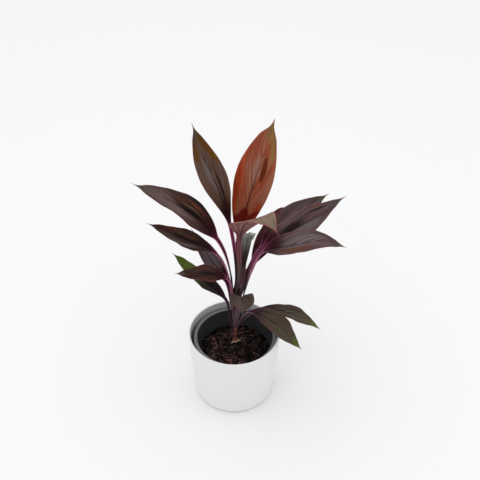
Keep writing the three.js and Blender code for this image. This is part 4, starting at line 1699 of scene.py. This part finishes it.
    def build(self) -> None:
        """Builds the soil's pieces and dresses them."""
        material = self.finish.material()
        self.bed().make(material, "soil", "soil")
        self.crumb_piece().make(material, "soil")
        self.fibre_piece().make(material, "soil")


@dataclass(frozen=True)
class Foliage:
    """All the leaves, with one finish for each tone."""

    leaves: list[Leaf]

    def build(self) -> None:
        """Builds each leaf and dresses it in its tone."""
        finishes = {tone: LeafFinish(tone.name.lower(), tone.value).material() for tone in Tone}
        for index, leaf in enumerate(self.leaves, start=1):
            leaf.piece(index).make(finishes[leaf.tone], "leaf", f"leaf_{index:02d}")


@dataclass(frozen=True)
class Studio:
    """Pale floor, soft light and the camera, in metres."""

    camera_place: Point = (0.0093, -1.295, 1.462)
    camera_down: float = 41.6
    lens: float = 90
    sensor: float = 36
    floor_size: float = 12
    floor_colour: Colour = (0.885, 0.885, 0.895)
    floor_roughness: float = 0.7
    sky_colour: Colour = (1, 1, 1)
    sky: float = 0.93
    key_place: Point = (-0.06, 0, 2)
    key_size: float = 2.4
    key_power: float = 9

    def floor(self) -> None:
        """Lays the floor, which isn't part of the plant."""
        half = self.floor_size / 2
        corners = [(-half, -half, 0), (half, -half, 0), (half, half, 0), (-half, half, 0)]
        mesh = bpy.data.meshes.new("floor")
        mesh.from_pydata(corners, [], [(0, 1, 2, 3)])
        shader = Shader("pale_floor")
        shader.feed(shader.surface.inputs["Base Color"], self.floor_colour)
        shader.feed(shader.surface.inputs["Roughness"], self.floor_roughness)
        mesh.materials.append(shader.material)
        floor = placed("floor", mesh)

    def light(self) -> None:
        """Sets the even sky and the large soft lamp above the plant."""
        world = bpy.data.worlds.new("studio")
        world.use_nodes = True
        background = world.node_tree.nodes["Background"]
        background.inputs["Color"].default_value = (*self.sky_colour, 1)
        background.inputs["Strength"].default_value = self.sky
        bpy.context.scene.world = world
        lamp = bpy.data.lights.new("softbox", "AREA")
        lamp.shape = "DISK"
        lamp.size = self.key_size
        lamp.energy = self.key_power
        softbox = placed("softbox", lamp)
        softbox.location = self.key_place
        softbox.rotation_euler = (-Vector(self.key_place)).to_track_quat("-Z", "Y").to_euler()

    def camera(self) -> None:
        """Stands the camera where the photograph was taken from."""
        lens = bpy.data.cameras.new("camera")
        lens.lens = self.lens
        lens.sensor_width = self.sensor
        camera = placed("camera", lens)
        camera.location = self.camera_place
        camera.rotation_euler = (math.radians(90 - self.camera_down), 0, 0)
        bpy.context.scene.camera = camera

    def build(self) -> None:
        """Sets up all of the studio."""
        self.floor()
        self.light()
        self.camera()
        bpy.context.scene.view_settings.view_transform = "Standard"


def write_sizes() -> None:
    """Updates the scene's view layer."""
    bpy.context.view_layer.update()


def main() -> None:
    """Builds the plant from the pots up, then the studio round it."""
    logging.basicConfig(level=logging.INFO, format="%(name)s: %(message)s")
    pot, cane = GrowPot(), Cane()
    for part in (CoverPot(), pot, Soil(pot, cane), cane, Foliage(LEAVES), Studio()):
        part.build()
    write_sizes()


if __name__ == "__main__":
    main()
